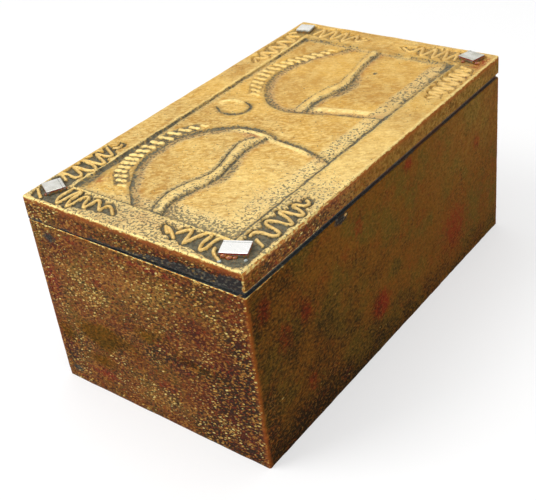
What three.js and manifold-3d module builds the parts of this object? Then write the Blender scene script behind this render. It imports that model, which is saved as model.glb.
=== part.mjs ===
// A carved and gilded wooden box with a hinged lid, built the way such a box is made: a thin bottom
// board bradded under four walls, a thick lid board carved in low relief, four mirror chips glued in
// the lid's corners, and two small brass butt hinges screwed to the rear face.
//
// Millimetres. X runs from the hinged side (-) to the front (+), Y from the near end (-) to the far
// end (+), Z up. The origin is the centre of the underside.

import * as THREE from "three";
import { mergeVertices } from "three/addons/utils/BufferGeometryUtils.js";
import Module from "manifold-3d";

const wasm = await Module();
wasm.setup();

// Case
const boxWidth = 120;
const boxLength = 210;
const boxHeight = 100;
const wallThickness = 8;
const bottomThickness = 4;
const lidThickness = 11.5;
const lidGap = 0.3; // daylight between the walls and the closed lid
const cornerLap = 4; // how much of each corner the long wall covers, past the end wall's rebate
const cornerRound = 1.2; // worn upright corners
const edgeEase = 0.8; // worn edges of the lid and the walls' rim
const seamEase = 0.35; // eased edges beside the seam under the walls

// Shadow gap cut into the lid's lower edge; on the ends it dies out towards the hinges
const reliefHeight = 2.1;
const reliefDepth = 1.2;
const reliefRunOut = 4;

// Carved lid: plain borders round a sunk panel
const borderFront = 16.5;
const borderRear = 15;
const borderNear = 16.5;
const borderFar = 19;
const panelDepth = 0.7;
const panelSlope = 0.6; // how far the sunk panel's edge leans in
const fieldDepth = 1.35; // floor of the two domed fields, below the lid's face
const fieldInset = 1.1;
const fieldOverrun = 0.05; // how far the field's outline runs past the panel, as a share of its half
const bandWidth = 8; // flat band left standing along the panel's front edge
const bandDepth = 0.3;
const groundDepth = 1.2; // chiselled ground in the four corners

// Beads and grooves of the carving
const rimWidth = 3.2;
const rimHeight = 0.75;
const rimStop = 9; // left bare between the rim's end and the panel's front edge
const rimTip = 0.35; // share of the rim's size where it starts
const rimGrowth = 1 / 3; // share of the rim's length in which it reaches its full size
const waveWidth = 6.6;
const waveHeight = 0.95;
const waveSwell = 0.12;
const lineWidth = 1.3;
const lineDepth = 0.5;
const toothLength = 7.4;
const toothWidth = 1.8;
const toothHeight = 0.75;
const toothCount = 20;
const toothTaper = 0.6; // share of a tooth's size at the two ends of the comb
const toothLean = [1, -0.25]; // turns the teeth towards the panel's front
const moonRadius = 8;
const moonWidth = 2.6;
const moonHeight = 0.8;
const moonTip = 0.3;
const strokeWidth = 1.9;
const strokeHeight = 1.45;
const beadRoot = 0.4; // how deep a bead is rooted in the wood below the lowest floor beside it
const beadSpring = 0.15; // how far below its floor a bead's arch starts
const lineSetback = 0.2; // flat left between a bead and the line cut beside it
const lineStop = 4.5; // left uncut at each end of the lines beside a wave

// Mirror chips
const tileThickness = 2;
const tileClearance = 0.3;
const glueLine = 0.1;

// Hinges, on the rear face
const hingeLength = 25;
const hingeInset = 40; // from the box's end to the middle of the hinge
const leafMargin = 3; // wood left between the lid's leaf and the lid's face
const leafThickness = 0.8;
const leafCornerRadius = 0.8;
const knuckleCount = 3;
const knuckleRadius = 1.7;
const knuckleGap = 0.3;
const swingClearance = 0.2; // between the knuckles and the wood
const pinRadius = 0.8;
const pinClearance = 0.08;
const pinHeadRadius = 1.25;
const pinHeadHeight = 0.5;
const pinHeadCrown = 0.6; // share of the head's radius, and of its height, that the rounding leaves

// Hinge screws
const screwInset = 5; // from a leaf's end to the screw
const screwRadius = 0.95;
const screwCover = 2.8; // wood left in the wall ahead of a screw's point
const screwHeadRadius = 1.8;
const screwHeadHeight = 0.7;
// The round head, as shares of its radius and height from the crown to the seat.
const screwHeadCurve = [
  [0, 1],
  [0.5, 0.9],
  [0.85, 0.55],
  [1, 0],
];
const screwPoint = 1.8; // length of the tapered point
const slotWidth = 0.4;
const slotDepth = 0.3;
const screwHoleClearance = 0.2;
const pilotClearance = 0.1;

// Brads under the bottom board
const bradRadius = 0.7;
const bradLength = 20;
const bradHeadRadius = 1.4;
const bradHeadThickness = 0.6;
const bradPoint = 1.4; // length of the tapered point
const bradSink = 0.15; // head set this far into the underside
const bradEndInset = 35;

// Facets
const cornerSteps = 3;
const easeSteps = 2;
const roundSides = 12;
const bradSides = 8;
const pinSides = 20;
const archSteps = 4;
const strokeArchSteps = 3;
const outlineSteps = 26;
const waveSteps = 16;
const rimSteps = 12;
const moonSteps = 12;
const turnSteps = 3;
// A standing line's end: distance in from the tip in half widths, and the shares of width and height.
const lineTip = [
  [-1, 0.4, 0.5],
  [0.3, 1, 1],
];
const mergeTolerance = 1e-4;
const sliver = 2e-3;
const sliverPasses = 6;
const through = 1; // how far a cutter runs past the face that it cuts

// Levels and planes that follow from the sizes
const lidBottom = boxHeight - lidThickness;
const wallTop = lidBottom - lidGap;
const frontFace = boxWidth / 2;
const rearFace = -boxWidth / 2;
const endFace = boxLength / 2;
const panelRear = rearFace + borderRear;
const panelFront = frontFace - borderFront;
const panelNear = -endFace + borderNear;
const panelFar = endFace - borderFar;
const panelMiddle = (panelNear + panelFar) / 2;
const panelFloor = boxHeight - panelDepth;
const fieldFloor = boxHeight - fieldDepth;
const groundFloor = boxHeight - groundDepth;
const panelFoot = fieldFloor - beadRoot;
const pinX = rearFace - swingClearance - knuckleRadius;
const pinZ = lidBottom - lidGap / 2;
const leafWidth = lidThickness - leafMargin;
const screwDrop = (knuckleRadius + leafWidth) / 2; // from the pin's axis to the screw
const screwLength = leafThickness + wallThickness - screwCover;

const gilt = new THREE.MeshStandardMaterial({
  color: 0xc9983f,
  roughness: 0.5,
  metalness: 0.45,
});
const agedGilt = new THREE.MeshStandardMaterial({
  color: 0x6b4a22,
  roughness: 0.55,
  metalness: 0.35,
});
const mirror = new THREE.MeshStandardMaterial({
  color: 0xe6ebec,
  roughness: 0.08,
  metalness: 0.9,
});
const brass = new THREE.MeshStandardMaterial({
  color: 0xa9853f,
  roughness: 0.4,
  metalness: 0.85,
});
const steel = new THREE.MeshStandardMaterial({
  color: 0x77736c,
  roughness: 0.5,
  metalness: 0.8,
});

// Solids

// The triangles of an index, without those that merging has collapsed.
function wholeTriangles(index) {
  const triangles = [];
  for (let i = 0; i < index.length; i += 3) {
    const [a, b, c] = index.slice(i, i + 3);
    if (a !== b && b !== c && c !== a) triangles.push([a, b, c]);
  }
  return triangles;
}

function solidOf(geometry) {
  const bare = new THREE.BufferGeometry();
  bare.setAttribute("position", geometry.getAttribute("position"));
  bare.setIndex(geometry.getIndex());
  const merged = mergeVertices(bare, mergeTolerance);
  return new wasm.Manifold(
    new wasm.Mesh({
      numProp: 3,
      vertProperties: merged.getAttribute("position").array,
      triVerts: new Uint32Array(wholeTriangles(merged.getIndex().array).flat()),
    }),
  );
}

// The longest edge of a triangle, as the place of its first corner, and the height over it.
function slenderness(points, triangle) {
  const corners = triangle.map((i) => new THREE.Vector3().fromArray(points, 3 * i));
  const lengths = corners.map((corner, k) => corner.distanceTo(corners[(k + 1) % 3]));
  const longest = lengths.indexOf(Math.max(...lengths));
  const area = new THREE.Triangle(...corners).getArea();
  return { longest, height: (2 * area) / lengths[longest] };
}

// Cuts leave some triangles thinner than a hair. Each is turned about its longest edge, and two that
// lie back to back are dropped.
function withoutSlivers(points, triangles) {
  const key = (a, b) => `${a} ${b}`;
  let left = triangles;
  for (let pass = 0; pass < sliverPasses; pass++) {
    const owner = new Map();
    left.forEach((triangle, n) =>
      triangle.forEach((corner, k) => owner.set(key(corner, triangle[(k + 1) % 3]), n)),
    );
    const touched = new Set();
    const dropped = new Set();
    left.forEach((triangle, n) => {
      const { longest, height } = slenderness(points, triangle);
      if (height >= sliver || touched.has(n)) return;
      const a = triangle[longest];
      const b = triangle[(longest + 1) % 3];
      const c = triangle[(longest + 2) % 3];
      const other = owner.get(key(b, a));
      if (touched.has(other)) return;
      const d = left[other].find((corner) => corner !== a && corner !== b);
      if (d === c) {
        dropped.add(n).add(other);
      } else {
        if (owner.has(key(c, d)) || owner.has(key(d, c))) return;
        left[n] = [a, d, c];
        left[other] = [d, b, c];
      }
      touched.add(n).add(other);
    });
    left = left.filter((_, n) => !dropped.has(n));
    if (!touched.size) break;
  }
  return left;
}

function meshOf(name, solid, material) {
  const result = solid.getMesh();
  const raw = new THREE.BufferGeometry();
  raw.setAttribute("position", new THREE.BufferAttribute(result.vertProperties, 3));
  raw.setIndex(new THREE.BufferAttribute(result.triVerts, 1));
  const merged = mergeVertices(raw, mergeTolerance);
  const points = merged.getAttribute("position").array;
  const triangles = withoutSlivers(points, wholeTriangles(merged.getIndex().array));
  const geometry = new THREE.BufferGeometry();
  geometry.setAttribute("position", new THREE.BufferAttribute(points, 3));
  geometry.setIndex(triangles.flat());
  geometry.computeVertexNormals();
  const mesh = new THREE.Mesh(geometry, material);
  mesh.name = name;
  return mesh;
}

function without(solid, cutters) {
  return cutters.reduce((left, cutter) => left.subtract(cutter), solid);
}

function withAll(solid, additions) {
  return additions.reduce((sum, addition) => sum.add(addition), solid);
}

function shapeOf(points) {
  return new THREE.Shape(points.map(([x, y]) => new THREE.Vector2(x, y)));
}

// A plan outline raised from one level to another.
function prism(shape, low, high) {
  const geometry = new THREE.ExtrudeGeometry(shape, {
    depth: high - low,
    bevelEnabled: false,
    curveSegments: cornerSteps,
  });
  geometry.translate(0, 0, low);
  return solidOf(geometry);
}

function roundedRectangle(x0, y0, x1, y1, radius) {
  const shape = new THREE.Shape();
  shape.absarc(x1 - radius, y0 + radius, radius, -Math.PI / 2, 0);
  shape.absarc(x1 - radius, y1 - radius, radius, 0, Math.PI / 2);
  shape.absarc(x0 + radius, y1 - radius, radius, Math.PI / 2, Math.PI);
  shape.absarc(x0 + radius, y0 + radius, radius, Math.PI, Math.PI * 1.5);
  shape.closePath();
  return shape;
}

// The box's whole outline between two levels, with its top and bottom edges eased.
function easedBlock(low, high, ease) {
  const outline = roundedRectangle(rearFace, -endFace, frontFace, endFace, cornerRound);
  const geometry = new THREE.ExtrudeGeometry(outline, {
    depth: high - low - 2 * ease,
    bevelThickness: ease,
    bevelSize: ease,
    bevelOffset: -ease,
    bevelSegments: easeSteps,
    curveSegments: cornerSteps,
  });
  geometry.translate(0, 0, low + ease);
  return solidOf(geometry);
}

// A cylinder between two heights along Z, moved to x, y.
function post(x, y, low, high, radius, sides) {
  const geometry = new THREE.CylinderGeometry(radius, radius, high - low, sides);
  geometry.rotateX(Math.PI / 2);
  geometry.translate(x, y, (low + high) / 2);
  return solidOf(geometry);
}

// A cylinder along X between two planes.
function crossPost(y, z, x0, x1, radius) {
  const geometry = new THREE.CylinderGeometry(radius, radius, x1 - x0, roundSides);
  geometry.rotateZ(Math.PI / 2);
  geometry.translate((x0 + x1) / 2, y, z);
  return solidOf(geometry);
}

function block(x0, x1, y0, y1, z0, z1) {
  const geometry = new THREE.BoxGeometry(x1 - x0, y1 - y0, z1 - z0);
  geometry.translate((x0 + x1) / 2, (y0 + y1) / 2, (z0 + z1) / 2);
  return solidOf(geometry);
}

// Rings with the same number of points, joined into one closed skin.
function loft(rings) {
  const count = rings[0].length;
  const positions = rings.flat(2);
  const triangles = [];
  for (let ring = 0; ring + 1 < rings.length; ring++) {
    for (let i = 0; i < count; i++) {
      const a = ring * count + i;
      const b = ring * count + ((i + 1) % count);
      triangles.push(a, b, b + count, a, b + count, a + count);
    }
  }
  const last = (rings.length - 1) * count;
  for (let i = 1; i + 1 < count; i++) {
    triangles.push(0, i + 1, i, last, last + i, last + i + 1);
  }
  const geometry = new THREE.BufferGeometry();
  geometry.setAttribute("position", new THREE.Float32BufferAttribute(positions, 3));
  geometry.setIndex(triangles);
  return solidOf(geometry);
}

// The points of an arch over a floor, with its foot below.
function archSection(place, half, foot, floor, height, steps) {
  place(-half, foot);
  for (let k = 0; k <= steps; k++) {
    const angle = (Math.PI * k) / steps;
    const rise = (height + beadSpring) * Math.sin(angle);
    place(-half * Math.cos(angle), floor - beadSpring + rise);
  }
  place(half, foot);
}

// An arched bead that follows a plan curve. Its width and height are given along the curve.
function bead(curve, steps, foot, floor, widthAt, heightAt) {
  const rings = [];
  for (let step = 0; step <= steps; step++) {
    const t = step / steps;
    const point = curve.getPointAt(t);
    const tangent = curve.getTangentAt(t);
    const half = widthAt(t) / 2;
    const height = heightAt(t);
    const ring = [];
    const place = (across, z) =>
      ring.push([point.x - tangent.y * across, point.y + tangent.x * across, z]);
    archSection(place, half, foot, floor, height, archSteps);
    rings.push(ring.reverse());
  }
  return loft(rings);
}

// A V-shaped cut that follows a plan curve on a floor.
function groove(curve, steps, floor, width, depth) {
  const rings = [];
  for (let step = 0; step <= steps; step++) {
    const t = step / steps;
    const point = curve.getPointAt(t);
    const tangent = curve.getTangentAt(t);
    const rise = (2 * through * width) / (2 * depth);
    const ring = [
      [-width / 2 - rise / 2, floor + through],
      [0, floor - depth],
      [width / 2 + rise / 2, floor + through],
    ];
    rings.push(
      ring.map(([across, z]) => [
        point.x - tangent.y * across,
        point.y + tangent.x * across,
        z,
      ]),
    );
  }
  return loft(rings);
}

// A line left standing along straight chisel strokes, round at its ends and on the outside of its
// turns, and mitred on the inside of them.
function standingLine(points, foot, floor, width, height) {
  const path = points.map(([x, y]) => new THREE.Vector2(x, y));
  const rings = [];
  const ring = (centre, left, right, wide, high) => {
    const points3 = [];
    const place = (across, z) => {
      const aside = across > 0 ? left : right;
      const reach = Math.abs(across);
      points3.push([centre.x + aside.x * reach, centre.y + aside.y * reach, z]);
    };
    archSection(place, (wide * width) / 2, foot, floor, high * height, strokeArchSteps);
    rings.push(points3.reverse());
  };
  const heading = (from, to) => to.clone().sub(from).normalize();
  const leftOf = (direction) => new THREE.Vector2(-direction.y, direction.x);
  const tip = (end, direction, offsets) => {
    const left = leftOf(direction);
    for (const [offset, wide, high] of offsets) {
      const centre = end.clone().addScaledVector(direction, (offset * width) / 2);
      ring(centre, left, left.clone().negate(), wide, high);
    }
  };
  const first = heading(path[0], path[1]);
  const last = heading(path.at(-2), path.at(-1));
  tip(path[0], first, lineTip);
  for (let i = 1; i + 1 < path.length; i++) {
    const before = heading(path[i - 1], path[i]);
    const after = heading(path[i], path[i + 1]);
    const turn = Math.atan2(before.cross(after), before.dot(after));
    const mitre = leftOf(before)
      .add(leftOf(after))
      .normalize()
      .multiplyScalar(Math.sign(turn) / Math.cos(turn / 2));
    for (let step = 0; step <= turnSteps; step++) {
      const left = leftOf(before).rotateAround(
        new THREE.Vector2(),
        (turn * step) / turnSteps,
      );
      const right = left.clone().negate();
      if (turn > 0) ring(path[i], mitre, right, 1, 1);
      else ring(path[i], left, mitre, 1, 1);
    }
  }
  tip(
    path.at(-1),
    last,
    [...lineTip].reverse().map(([offset, wide, high]) => [-offset, wide, high]),
  );
  return loft(rings);
}

// The carved motif. Its points are shares of half the panel: across from the rear edge to the front
// edge, and along from the near or the far edge to the panel's middle.

const nearHalf = (across, along) => [
  panelRear + across * (panelFront - panelRear),
  panelNear + along * (panelMiddle - panelNear),
];
const farHalf = (across, along) => [
  panelRear + across * (panelFront - panelRear),
  panelFar - along * (panelFar - panelMiddle),
];

const motifs = [
  {
    half: nearHalf,
    dome: [
      [0.367, 0.0],
      [0.271, 0.097],
      [0.186, 0.212],
      [0.136, 0.327],
      [0.119, 0.441],
      [0.13, 0.579],
      [0.175, 0.697],
      [0.322, 0.831],
      [0.486, 0.868],
      [0.678, 0.832],
      [0.847, 0.782],
      [1.0, 0.722],
    ],
    rimFrom: 0.56,
    wave: [
      [0.548, 0.868],
      [0.525, 0.762],
      [0.508, 0.659],
      [0.53, 0.527],
      [0.551, 0.43],
      [0.545, 0.327],
      [0.511, 0.212],
      [0.497, 0.132],
      [0.515, 0.05],
      [0.537, -0.005],
    ],
    comb: [
      [0.198, 0.802],
      [0.147, 0.728],
      [0.113, 0.648],
      [0.09, 0.556],
      [0.076, 0.453],
      [0.079, 0.338],
      [0.107, 0.235],
      [0.153, 0.155],
      [0.215, 0.086],
    ],
  },
  {
    half: farHalf,
    dome: [
      [0.35, 0.0],
      [0.282, 0.115],
      [0.226, 0.218],
      [0.175, 0.332],
      [0.149, 0.447],
      [0.158, 0.573],
      [0.203, 0.699],
      [0.299, 0.825],
      [0.441, 0.88],
      [0.593, 0.878],
      [0.78, 0.814],
      [1.0, 0.762],
    ],
    rimFrom: 0.62,
    wave: [
      [0.532, 0.88],
      [0.538, 0.729],
      [0.551, 0.627],
      [0.576, 0.527],
      [0.568, 0.458],
      [0.538, 0.356],
      [0.505, 0.256],
      [0.506, 0.15],
      [0.517, 0.086],
      [0.522, -0.005],
    ],
    comb: [
      [0.181, 0.762],
      [0.124, 0.665],
      [0.085, 0.562],
      [0.079, 0.458],
      [0.113, 0.344],
      [0.181, 0.221],
      [0.254, 0.12],
    ],
  },
];

// A ring between the domes, near the panel's rear edge: a bead round its rear half and a cut line
// round its front half.
const moonAcross = 0.17;
const moonAlong = 0.975;
const moonStart = Math.PI * 1.1;
const moonEnd = Math.PI * 0.1;
const moonLineStart = Math.PI * 0.05;
const moonLineEnd = -Math.PI * 0.75;

function curveOf(half, points) {
  return new THREE.SplineCurve(
    points.map(([across, along]) => new THREE.Vector2(...half(across, along))),
  );
}

function section(curve, from, to, steps) {
  const points = [];
  for (let step = 0; step <= steps; step++) {
    points.push(curve.getPointAt(from + ((to - from) * step) / steps));
  }
  return new THREE.SplineCurve(points);
}

function sunkPanel() {
  const rim = through * (panelSlope / panelDepth);
  const level = (inset, z) => [
    [panelRear + inset, panelNear + inset, z],
    [panelFront - inset, panelNear + inset, z],
    [panelFront - inset, panelFar - inset, z],
    [panelRear + inset, panelFar - inset, z],
  ];
  return loft([level(panelSlope, panelFloor), level(-rim, boxHeight + through)]);
}

// The domed field: its outline runs on past the panel's edges, where a block bounds the cut.
function sunkField(motif) {
  const outline = curveOf(motif.half, motif.dome);
  const points = outline.getSpacedPoints(outlineSteps).map((point) => [point.x, point.y]);
  points.push(motif.half(1, -fieldOverrun), motif.half(motif.dome[0][0], -fieldOverrun));
  const inset = panelSlope + fieldInset;
  const bounds = block(
    panelRear,
    panelFront - bandWidth / 2,
    panelNear + inset,
    panelFar - inset,
    fieldFloor - through,
    boxHeight + 2 * through,
  );
  return prism(shapeOf(points), fieldFloor, boxHeight + through).intersect(bounds);
}

function band() {
  const shape = shapeOf([
    [panelFront - bandWidth, panelNear],
    [panelFront, panelNear],
    [panelFront, panelFar],
    [panelFront - bandWidth, panelFar],
  ]);
  return prism(shape, panelFoot, boxHeight - bandDepth);
}

// Full size in the middle, and the share `least` of it at both ends.
function swell(t, least) {
  return least + (1 - least) * Math.sqrt(Math.sin(Math.PI * THREE.MathUtils.clamp(t, 0, 1)));
}

// The bead over the free part of the dome. It grows out of the floor and stops before the edge.
function rim(motif) {
  const dome = curveOf(motif.half, motif.dome);
  const curve = section(dome, motif.rimFrom, 1 - rimStop / dome.getLength(), rimSteps);
  const growth = (t) => THREE.MathUtils.lerp(rimTip, 1, Math.min(1, t / rimGrowth));
  return bead(
    curve,
    rimSteps,
    panelFoot,
    panelFloor,
    (t) => rimWidth * growth(t),
    (t) => rimHeight * growth(t),
  );
}

const waveWidthAt = (t) => waveWidth * (1 + waveSwell * Math.cos(2 * Math.PI * t));

function wave(motif) {
  const curve = curveOf(motif.half, motif.wave);
  return bead(curve, waveSteps, panelFoot, fieldFloor, waveWidthAt, () => waveHeight);
}

// An incised line on each side of the wave, stopped short of the field's walls.
function lines(motif) {
  const curve = curveOf(motif.half, motif.wave);
  const stop = lineStop / curve.getLength();
  const aside = (side) => {
    const points = [];
    for (let step = 0; step <= waveSteps; step++) {
      const t = THREE.MathUtils.lerp(stop, 1 - stop, step / waveSteps);
      const point = curve.getPointAt(t);
      const tangent = curve.getTangentAt(t);
      const half = waveWidthAt(t) / 2 + lineSetback + lineWidth / 2;
      points.push(
        new THREE.Vector2(
          point.x - side * tangent.y * half,
          point.y + side * tangent.x * half,
        ),
      );
    }
    return new THREE.SplineCurve(points);
  };
  return [
    groove(aside(1), waveSteps, fieldFloor, lineWidth, lineDepth),
    groove(aside(-1), waveSteps, fieldFloor, lineWidth, lineDepth),
  ];
}

// Short teeth along the shoulder of the dome, longest in the middle.
function comb(motif) {
  const curve = curveOf(motif.half, motif.comb);
  const teeth = [];
  for (let i = 0; i < toothCount; i++) {
    const t = (i + 0.5) / toothCount;
    const centre = curve.getPointAt(t);
    const tangent = curve.getTangentAt(t);
    const lean = tangent.y > 0 ? -1 : 1;
    const across = new THREE.Vector2(-tangent.y, tangent.x).multiplyScalar(lean);
    across.add(new THREE.Vector2(...toothLean)).normalize();
    const reach = (toothLength * swell(t, toothTaper) - toothWidth) / 2;
    const from = centre.clone().addScaledVector(across, -reach);
    const to = centre.clone().addScaledVector(across, reach);
    teeth.push(
      standingLine(
        [
          [from.x, from.y],
          [to.x, to.y],
        ],
        panelFoot,
        panelFloor,
        toothWidth,
        toothHeight * swell(t, toothTaper),
      ),
    );
  }
  return teeth;
}

function moonArc(from, to) {
  const [x, y] = nearHalf(moonAcross, moonAlong);
  return new THREE.EllipseCurve(x, y, moonRadius, moonRadius, from, to, from > to);
}

function moon() {
  return bead(
    moonArc(moonStart, moonEnd),
    moonSteps,
    panelFoot,
    panelFloor,
    (t) => moonWidth * swell(t, moonTip),
    (t) => moonHeight * swell(t, moonTip),
  );
}

function moonLine() {
  const arc = moonArc(moonLineStart, moonLineEnd);
  return groove(arc, moonSteps, panelFloor, lineWidth, lineDepth);
}

// Corner ornament. The short arm runs along the end border and the long arm along the side border.
// Its points are distances from the box's corner and shares of the border's width.

const shortArm = "short";
const longArm = "long";
const corners = [
  { name: "near_front", sideX: 1, sideY: -1 },
  { name: "near_rear", sideX: -1, sideY: -1 },
  { name: "far_front", sideX: 1, sideY: 1 },
  { name: "far_rear", sideX: -1, sideY: 1 },
];

function cornerPoint(corner, arm, along, across) {
  const borderX = corner.sideX > 0 ? borderFront : borderRear;
  const borderY = corner.sideY > 0 ? borderFar : borderNear;
  const inX = arm === shortArm ? along : across * borderX;
  const inY = arm === shortArm ? across * borderY : along;
  return [corner.sideX * (frontFace - inX), corner.sideY * (endFace - inY)];
}

const groundOutline = [
  [shortArm, 49, 0.56],
  [shortArm, 45, 0.74],
  [shortArm, 39, 0.87],
  [shortArm, 30, 0.92],
  [shortArm, 17.5, 0.92],
  [longArm, 17, 0.9],
  [longArm, 40, 0.9],
  [longArm, 48, 0.8],
  [longArm, 53.5, 0.5],
  [longArm, 52, 0.24],
  [longArm, 44, 0.13],
  [longArm, 12, 0.11],
  [longArm, 5, 0.16],
  [shortArm, 6, 0.16],
  [shortArm, 12, 0.11],
  [shortArm, 26, 0.13],
  [shortArm, 38, 0.28],
  [shortArm, 46, 0.42],
];

const zigzags = {
  front: [
    {
      arm: shortArm,
      points: [
        [46, 0.64],
        [39.7, 0.42],
        [36.2, 0.8],
        [33.3, 0.34],
        [28.5, 0.84],
        [24.7, 0.3],
        [21.5, 0.84],
      ],
    },
    {
      arm: longArm,
      points: [
        [19.5, 0.78],
        [24.8, 0.8],
        [26.6, 0.24],
        [31, 0.79],
        [34.7, 0.24],
        [39.7, 0.8],
        [42, 0.26],
        [46.2, 0.68],
        [50.3, 0.42],
      ],
    },
    {
      arm: shortArm,
      points: [
        [20, 0.5],
        [17, 0.26],
        [12.5, 0.2],
      ],
    },
  ],
  rear: [
    {
      arm: shortArm,
      points: [
        [16, 0.82],
        [18, 0.27],
        [21.4, 0.82],
        [24.5, 0.27],
        [27.7, 0.75],
        [32.3, 0.38],
        [34, 0.76],
        [39.7, 0.47],
        [41.4, 0.7],
        [46, 0.5],
      ],
    },
    {
      arm: longArm,
      points: [
        [20.6, 0.24],
        [23.4, 0.68],
        [27.2, 0.22],
        [30, 0.8],
        [33.4, 0.22],
        [36.4, 0.8],
        [40, 0.24],
        [43, 0.7],
        [46.4, 0.3],
        [50.5, 0.52],
      ],
    },
    {
      arm: longArm,
      points: [
        [7.5, 0.22],
        [4.4, 0.5],
      ],
    },
  ],
};

// Hand-cut chips: middle from the corner, size and turn are all a little different.
const tiles = {
  near_front: { inX: 11.4, inY: 11, width: 11.5, length: 9.5, turn: 24 },
  near_rear: { inX: 8.3, inY: 11.4, width: 8.6, length: 8.2, turn: -28 },
  far_front: { inX: 11.4, inY: 7.6, width: 9, length: 8.6, turn: -14 },
  far_rear: { inX: 7.6, inY: 8.6, width: 8.2, length: 8, turn: 12 },
};

function cornerGround(corner) {
  const points = groundOutline.map(([arm, along, across]) =>
    cornerPoint(corner, arm, along, across),
  );
  if (corner.sideX * corner.sideY < 0) points.reverse();
  return prism(shapeOf(points), groundFloor, boxHeight + through);
}

function cornerStrokes(corner) {
  const set = corner.sideX > 0 ? zigzags.front : zigzags.rear;
  return set.map(({ arm, points }) =>
    standingLine(
      points.map(([along, across]) => cornerPoint(corner, arm, along, across)),
      groundFloor - beadRoot,
      groundFloor,
      strokeWidth,
      strokeHeight,
    ),
  );
}

function tilePlace(corner) {
  const tile = tiles[corner.name];
  return {
    ...tile,
    x: corner.sideX * (frontFace - tile.inX),
    y: corner.sideY * (endFace - tile.inY),
    angle: THREE.MathUtils.degToRad(tile.turn),
  };
}

// The bed that is cut clear of carving for a chip.
function tileBed(corner) {
  const place = tilePlace(corner);
  const geometry = new THREE.BoxGeometry(
    place.width + 2 * tileClearance,
    place.length + 2 * tileClearance,
    groundDepth + 2 * through,
  );
  geometry.rotateZ(place.angle);
  geometry.translate(place.x, place.y, groundFloor + groundDepth / 2 + through);
  return solidOf(geometry);
}

// Parts of the case

function shadowGap() {
  const front = block(
    frontFace - reliefDepth,
    frontFace + through,
    -endFace - through,
    endFace + through,
    lidBottom - through,
    lidBottom + reliefHeight,
  );
  const start = rearFace + reliefRunOut;
  const wedge = (y0, y1) => {
    const run = frontFace + through - start;
    const level = (x, z) => [
      [x, y0, lidBottom - through],
      [x, y1, lidBottom - through],
      [x, y1, z],
      [x, y0, z],
    ];
    const rise = reliefHeight * (run / (frontFace - start));
    return loft([level(start, lidBottom), level(start + run, lidBottom + rise)]);
  };
  return [
    front,
    wedge(-endFace - through, -endFace + reliefDepth),
    wedge(endFace - reliefDepth, endFace + through),
  ];
}

function lidBoard() {
  let board = easedBlock(lidBottom, boxHeight, edgeEase);
  board = without(board, shadowGap());
  board = without(board, [sunkPanel(), ...motifs.map(sunkField)]);
  board = without(board, corners.map(cornerGround));
  board = withAll(board, [band()]);
  board = without(board, [...motifs.flatMap(lines), moonLine()]);
  board = withAll(board, [...motifs.map(wave), ...motifs.map(rim), moon()]);
  board = withAll(board, motifs.flatMap(comb));
  board = withAll(board, corners.flatMap(cornerStrokes));
  board = without(board, corners.map(tileBed));
  return without(board, pilotHoles(1));
}

function tileMesh(corner) {
  const place = tilePlace(corner);
  const geometry = new THREE.BoxGeometry(place.width, place.length, tileThickness);
  const mesh = new THREE.Mesh(geometry, mirror);
  mesh.name = `mirror_tile_${corner.name}`;
  mesh.position.set(place.x, place.y, groundFloor + glueLine + tileThickness / 2);
  mesh.rotation.z = place.angle;
  return mesh;
}

// Long walls run the whole length; a rebate at each end takes the end wall.
function longWall(side) {
  const inner = frontFace - wallThickness;
  const lap = frontFace - cornerLap;
  const shoulder = endFace - wallThickness;
  const points = [
    [lap, -endFace - through],
    [frontFace + through, -endFace - through],
    [frontFace + through, endFace + through],
    [lap, endFace + through],
    [lap, shoulder],
    [inner, shoulder],
    [inner, -shoulder],
    [lap, -shoulder],
  ].map(([x, y]) => [side * x, y]);
  if (side < 0) points.reverse();
  return prism(shapeOf(points), bottomThickness, wallTop);
}

function endWall(side) {
  const lap = frontFace - cornerLap;
  const outer = endFace + through;
  const inner = endFace - wallThickness;
  const [y0, y1] = side > 0 ? [inner, outer] : [-outer, -inner];
  return block(-lap, lap, y0, y1, bottomThickness, wallTop);
}

// Hinges

const hinges = [
  { name: "near", y: -(endFace - hingeInset) },
  { name: "far", y: endFace - hingeInset },
];

function knuckleSpan(index) {
  const pitch = hingeLength / knuckleCount;
  const start = -hingeLength / 2 + index * pitch;
  const low = index > 0 ? start + knuckleGap / 2 : start;
  const high = index + 1 < knuckleCount ? start + pitch - knuckleGap / 2 : start + pitch;
  return [low, high];
}

function barrel(y, radius, low, high, sides) {
  const geometry = new THREE.CylinderGeometry(radius, radius, high - low, sides);
  geometry.translate(pinX, y + (low + high) / 2, pinZ);
  return solidOf(geometry);
}

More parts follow.
